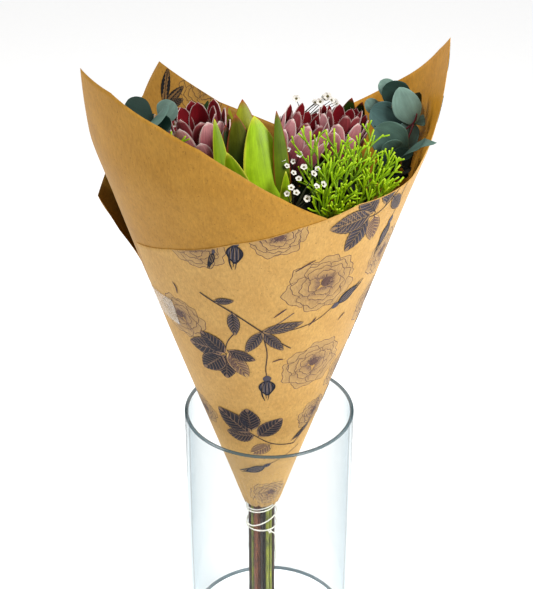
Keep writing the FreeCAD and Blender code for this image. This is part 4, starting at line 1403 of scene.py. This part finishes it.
def make_eucalyptus(stem, look):
    """Pairs of round waxy leaves on a red twig."""
    piece = Piece()
    red, cream = paint(96, 28, 40), paint(196, 168, 140)
    for order, points in enumerate(EUCALYPTUS_TWIGS[stem.plant]):
        path = tucked(rounded_path(points, 6))
        radii = np.linspace(1.15, 0.55, len(path))
        share = np.linspace(0, 1, len(path))
        tint = lerp(red, cream if order == 0 and len(points) == 3 else red, share)
        piece.tube(path, radii, tint, 8)
    for foot, tip, width, face, colour in EUCALYPTUS[stem.plant]:
        shape = ROUND if width > 0.75 * math.dist(foot, tip) else OVAL
        add_leaf(piece, foot, tip, face, width, shape,
                 (colour * 0.75, colour, colour * 1.08, colour * 1.25, 0.8), thick=0.45,
                 bow=dice.uniform(0.02, 0.08), cup=dice.uniform(-0.1, 0.2),
                 twist=dice.uniform(-0.2, 0.2), rows=22)
    reach, tall = stem.size("leaves")
    for index in range(5):
        angle = index * 2.4 + 0.6
        height = tall * (0.05 + 0.12 * index)
        foot = stem.spot(angle, 1.0, height)
        tip = stem.spot(angle, reach * 1.05, height + 8)
        add_leaf(piece, foot, tip, stem.axis + stem.around(angle) * 0.1, reach * 1.0, ROUND,
                 (DEEP, TEAL, TEAL, TEAL * 1.3, 0.8), thick=0.45, bow=0.05)
    piece.make(stem.plant + "_leaf_pairs", [look], "bouquet",
               (stem.plant + "_leaves",))


# ---------------------------------------------------------------- foliage and fillers

# Where the forked green twigs start and end, for each spray.
SPRAY_ROOTS = {"feather_foliage_front": (38, -74, 466), "feather_foliage_side": (60, -64, 466),
               "feather_foliage_left": (-83, -24, 464)}
SPRAY_TIPS = {
    "feather_foliage_front": [
        (31, -34, 526), (36, -40, 516), (49, -38, 530), (56, -46, 520), (66, -50, 514),
        (58, -74, 500), (60, -90, 490), (50, -92, 488), (46, -60, 514), (40, -76, 496),
    ],
    "feather_foliage_side": [
        (65, -40, 520), (76, -40, 516), (80, -26, 524), (86, -50, 508), (95, -46, 514),
        (99, -52, 506), (102, -57, 498), (90, -66, 494), (74, -60, 502),
    ],
    "feather_foliage_left": [
        (-80, -28, 512), (-72, -30, 508), (-86, -20, 504), (-68, -34, 516), (-76, -20, 520),
    ],
}
SPRAY_LIGHT, SPRAY_DARK, SPRAY_TIP = paint(158, 206, 8), paint(40, 72, 2), paint(198, 228, 50)


def add_twig(piece, root, end, thick, forks, level=0):
    """A slim green twig with side twigs at a narrow angle, left and right in turn."""
    root, end = np.asarray(root, float), np.asarray(end, float)
    along = unit(end - root)
    length = np.linalg.norm(end - root)
    flat = unit(np.cross(along, vec(0.1, -0.87, 0.5)))
    sway = (flat * dice.uniform(-0.06, 0.06) + vec(0, 0, -0.03)) * length
    path = tucked(rounded_path([root, (root + end) / 2 + sway, end], 8))
    share = np.linspace(0, 1, len(path))
    bumps = 1 + 0.12 * np.abs(np.sin(share * length * 0.9))
    light = 0.12 + 0.18 * level + 0.75 * share ** 1.5 * dice.uniform(0.6, 1.15)
    tint = lerp(SPRAY_DARK, SPRAY_LIGHT, np.clip(light, 0, 1))
    tint = lerp(tint, SPRAY_TIP, 0.6 * smooth(0.8, 1.0, share))
    piece.tube(path, thick / 2 * bumps * (1 - 0.2 * share), tint, 6)
    for fork in range(forks):
        at = 0.28 + 0.62 * (fork + dice.uniform(0, 0.8)) / forks
        start = path[min(int(at * len(path)), len(path) - 2)]
        turn = math.radians(dice.uniform(17, 34)) * (1 if fork % 2 else -1)
        away = along * math.cos(turn) + flat * math.sin(turn)
        away = unit(away + vec(dice.uniform(-0.1, 0.1), dice.uniform(-0.25, 0.15), 0))
        reach = (1.0 - at) * length * dice.uniform(0.6, 0.95) + dice.uniform(2, 5)
        tip = start + away * min(reach, 26 if level == 0 else 9)
        if math.hypot(tip[0] - WRAP_X, tip[1]) < 122:
            add_twig(piece, start, tip, thick * 0.92, 2 if level == 0 else 0, level + 1)


def make_spray(stem, look):
    """Bright forked foliage that fans out over the paper's edge from one stem."""
    piece = Piece()
    for tip in SPRAY_TIPS[stem.plant]:
        tip = np.asarray(tip, float)
        root = vec(*SPRAY_ROOTS[stem.plant]) + stem.axis * dice.uniform(-3, 5)
        add_twig(piece, root + (tip - root) * vec(0.12, 0.12, 0), tip, 1.8, 5)
    piece.make(stem.plant + "_twigs", [look], "bouquet",
               (stem.plant + "_tuft",))


def make_dark_greenery(stem, look):
    """Dark glossy leaves that fill the inside of the wrap behind the flowers; the filling leaves
    are darkened further with painted shade.
    """
    piece = Piece()
    tones = (paint(30, 52, 22), paint(18, 36, 20), paint(52, 66, 20), paint(14, 28, 16))
    for index in range(14):
        angle = index * GOLDEN_TURN
        height = 2.0 + 2.0 * index
        foot = stem.spot(angle, 1.0, height)
        tip = stem.spot(angle, 15 + dice.uniform(0, 5), height + dice.uniform(14, 26))
        tone = tones[index % 4]
        add_leaf(piece, foot, tip, stem.axis - stem.around(angle) * 0.6, 13, OVAL,
                 (tone, tone * 1.2, tone * 1.4, tone * 0.9, 0.7), bow=-0.06, cup=0.2)
    for index in range(90):
        angle = index * GOLDEN_TURN
        out = 96 * math.sqrt((index + 0.5) / 90)
        x, y = WRAP_X + out * math.sin(angle), -out * math.cos(angle)
        low = 428 + dice.uniform(0, 22)
        foot = vec(x * 0.86, y * 0.86, low)
        turn = dice.uniform(0, 2 * math.pi)
        tip = foot + vec(12 * math.cos(turn), 12 * math.sin(turn), dice.uniform(14, 30))
        if math.hypot(tip[0] - WRAP_X, tip[1]) > 100:
            continue
        # The filling leaves are darkened to 15-50 % of their own dark tone: painted shade of the
        # wrap's deep inside.
        tone = tones[dice.randrange(4)] * dice.uniform(0.15, 0.5)
        face = vec(dice.uniform(-0.4, 0.4), -0.6, 0.8)
        add_leaf(piece, foot, tip, face, dice.uniform(14, 22), OVAL,
                 (tone, tone, tone * 1.2, tone, 0.7), bow=0.06, cup=0.2, rows=12)
    piece.make("dark_greenery_leaves", [look], "bouquet",
               ("dark_greenery_tuft",))


# Places of the small white flowers in each sprig; each flower's width is drawn at random.
FILLERS = {
    "filler_front": [(40, -70, 498), (35, -72, 497), (16, -74, 497), (13, -76, 493),
                     (33, -62, 503), (20, -68, 490), (28, -74, 488), (36, -60, 506)],
    "filler_middle": [(23, -44, 511), (18, -48, 507), (13, -50, 504), (18, -54, 500),
                      (10, -46, 508), (26, -50, 503), (14, -40, 513), (22, -56, 496)],
    "filler_left": [(-84, 12, 512), (-80, 8, 509), (-76, 14, 512), (-88, 18, 508),
                    (-82, 24, 514), (-74, 22, 510), (-83, 2, 508)],
    "filler_back": [(48, 58, 519), (42, 56, 515), (54, 58, 514), (46, 62, 516),
                    (51, 54, 517), (22, 50, 520), (38, 62, 512), (56, 64, 510)],
}


def make_filler(stem, looks):
    """Small five-petalled white flowers on thread-like twigs."""
    piece = Piece()
    white, cup = paint(240, 238, 230), paint(92, 84, 34)
    twig = paint(40, 44, 22)
    for spot in FILLERS[stem.plant]:
        spot = np.asarray(spot, float)
        root = stem.head + stem.axis * dice.uniform(0, 6)
        sway = (root + spot) / 2 + vec(dice.uniform(-3, 3), dice.uniform(-3, 3), 2)
        path = rounded_path([root, sway, spot], 5)
        piece.tube(path, np.linspace(0.5, 0.3, len(path)), twig, 5, slot=1)
        axis = unit(vec(dice.uniform(-0.5, 0.5), dice.uniform(-1, -0.2), dice.uniform(0.3, 1)))
        side = unit(np.cross(axis, vec(0.3, 0.2, 1)))
        other = np.cross(axis, side)
        size = dice.uniform(2.1, 2.9) * (1.3 if "back" in stem.plant else 1.0)
        spin = dice.uniform(0, 2)
        for petal in range(5):
            turn = spin + petal * 2 * math.pi / 5
            out = side * math.cos(turn) + other * math.sin(turn)
            add_leaf(piece, spot + out * size * 0.22, spot + out * size + axis * 0.8,
                     axis, size * 0.85, (0.4, 0.6, 0.0), (white * 0.7, white, white, white, 0.85),
                     thick=0.25, cup=0.3, twist=dice.uniform(-0.6, 0.6), rows=7)
        lobes = np.linspace(0, math.pi, 6)
        line = spot - axis * 0.9 + axis * (1 - np.cos(lobes))[:, None] * 0.9
        piece.tube(line, np.maximum(np.sin(lobes), 0.1) * size * 0.36, cup, 9, slot=1)
    piece.make(stem.plant + "_blossom", looks, "bouquet",
               (stem.plant + "_flowers",))


# ---------------------------------------------------------------- the bouquet


def make_bouquet():
    bracts = [petal_look("bract_outside"), petal_look("bract_inside", 0.6, 0.05)]
    waxy = leaf_look("leucadendron_leaf", 0.42, 1.0, 0.6, 0.3)
    blue = leaf_look("eucalyptus_leaf", 0.5, 0.7, 0.4, 0.3)
    bright = leaf_look("forked_foliage", 0.45, 0.5, 0.3, 0.25)
    glossy = leaf_look("dark_leaf", 0.5, 0.8, 0.6, 0.12)
    blossom = [petal_look("white_petal", 0.25, 0.2), twig_look("flower_twig", 0.7, 0.2)]
    twigs = {
        "protea": twig_look("protea_bark", 0.75, 0.8),
        "leucadendron": twig_look("leucadendron_bark", 0.6, 0.6),
        "eucalyptus": twig_look("eucalyptus_bark", 0.6, 0.5),
        "greenery": twig_look("green_skin", 0.5, 0.2, 0.5),
        "filler": twig_look("filler_bark", 0.7, 0.4),
    }
    for name in sorted(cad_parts):
        if not name.endswith("_stem"):
            continue
        stem = Stem(name[:-len("_stem")])
        plant = stem.plant
        kind = plant.split("_")[0]
        if kind == "protea":
            make_protea(stem, bracts)
        elif kind == "leucadendron":
            listed = {"leucadendron_front": FRONT_LEAVES, "leucadendron_side": SIDE_LEAVES,
                      "leucadendron_back_right": BACK_LEAVES}
            make_leucadendron(stem, waxy, listed.get(plant, ()))
        elif kind == "eucalyptus":
            make_eucalyptus(stem, blue)
        elif kind == "feather":
            make_spray(stem, bright)
        elif kind == "dark":
            make_dark_greenery(stem, glossy)
        else:
            make_filler(stem, blossom)
        make_stem(stem, kind if kind in twigs else "greenery", twigs.get(kind, twigs["greenery"]))


# ---------------------------------------------------------------- stage, light, camera

FLOOR_HALF = 15.0           # metres from the middle of the floor to its edge
# Each lamp's place, the point it looks at, its size, power and colour.
LAMPS = {
    "key": ((0.75, -0.8, 1.3), (0.05, 0, 0.4), 0.5, 16.0, (1.0, 0.98, 0.95)),
    "side": ((1.0, 0.1, 0.5), (0.2, 0, 0.1), 0.5, 3.0, (1.0, 1.0, 1.0)),
    "left": ((-0.9, 0.1, 1.4), (0.1, 0, 0.5), 0.5, 9.0, (1.0, 0.99, 0.96)),
}
CAMERA_PLACE = (-0.00242, -0.97514, 0.9124)
CAMERA_TILT = 60.65         # degrees up from looking straight down
CAMERA_LENS = 81.0


def add_lamp(name, place, aim, size, power, colour):
    """A square area lamp that looks at a point."""
    light = bpy.data.lights.new(name, "AREA")
    light.size = size
    light.energy = power
    light.color = colour
    thing = bpy.data.objects.new(name, light)
    bpy.context.scene.collection.objects.link(thing)
    thing.location = place
    direction = np.array(aim) - np.array(place)
    flat = math.hypot(direction[0], direction[1])
    thing.rotation_euler = (math.atan2(flat, -direction[2]), 0,
                            math.atan2(-direction[0], direction[1]))


def make_stage():
    """A pale floor, a pale sky and soft lamps."""
    mesh = bpy.data.meshes.new("floor")
    half = FLOOR_HALF
    mesh.from_pydata([(-half, -half, 0), (half, -half, 0), (half, half, 0), (-half, half, 0)],
                     [], [(0, 1, 2, 3)])
    floor = bpy.data.objects.new("floor", mesh)
    bpy.context.scene.collection.objects.link(floor)
    look = Look("pale_floor", Roughness=0.9, Emission_Color=(1, 1, 1, 1), Emission_Strength=0.45)
    speck = look.noise(look.object_place(), 60.0)
    look.colour(look.mixed(look.grey(speck, 0.3, 0.7, 0.0, 1.0), (0.9, 0.9, 0.9, 1),
                           (0.93, 0.93, 0.93, 1)))
    mesh.materials.append(look.material)

    world = bpy.data.worlds.new("soft_sky")
    bpy.context.scene.world = world
    world.use_nodes = True
    nodes, links = world.node_tree.nodes, world.node_tree.links
    rays = nodes.new("ShaderNodeLightPath")
    seen = nodes.new("ShaderNodeMath")
    seen.operation = "MAXIMUM"
    links.new(rays.outputs["Is Camera Ray"], seen.inputs[0])
    links.new(rays.outputs["Is Transmission Ray"], seen.inputs[1])
    strength = nodes.new("ShaderNodeMapRange")
    strength.inputs["To Min"].default_value = SKY_LIGHT
    links.new(seen.outputs[0], strength.inputs["Value"])
    background = nodes["Background"]
    background.inputs["Color"].default_value = (1, 1, 1, 1)
    links.new(strength.outputs["Result"], background.inputs["Strength"])

    for name, facts in LAMPS.items():
        add_lamp(name, *facts)
    bpy.context.scene.view_settings.view_transform = "Standard"


def make_camera():
    camera = bpy.data.cameras.new("camera")
    camera.lens = CAMERA_LENS
    camera.sensor_width = 36.0
    camera.clip_start = 0.05
    thing = bpy.data.objects.new("camera", camera)
    bpy.context.scene.collection.objects.link(thing)
    thing.location = CAMERA_PLACE
    thing.rotation_euler = (math.radians(CAMERA_TILT), 0, 0)
    bpy.context.scene.camera = thing


make_camera()
make_stage()
make_string()
make_vase()
make_wrap()
make_bouquet()
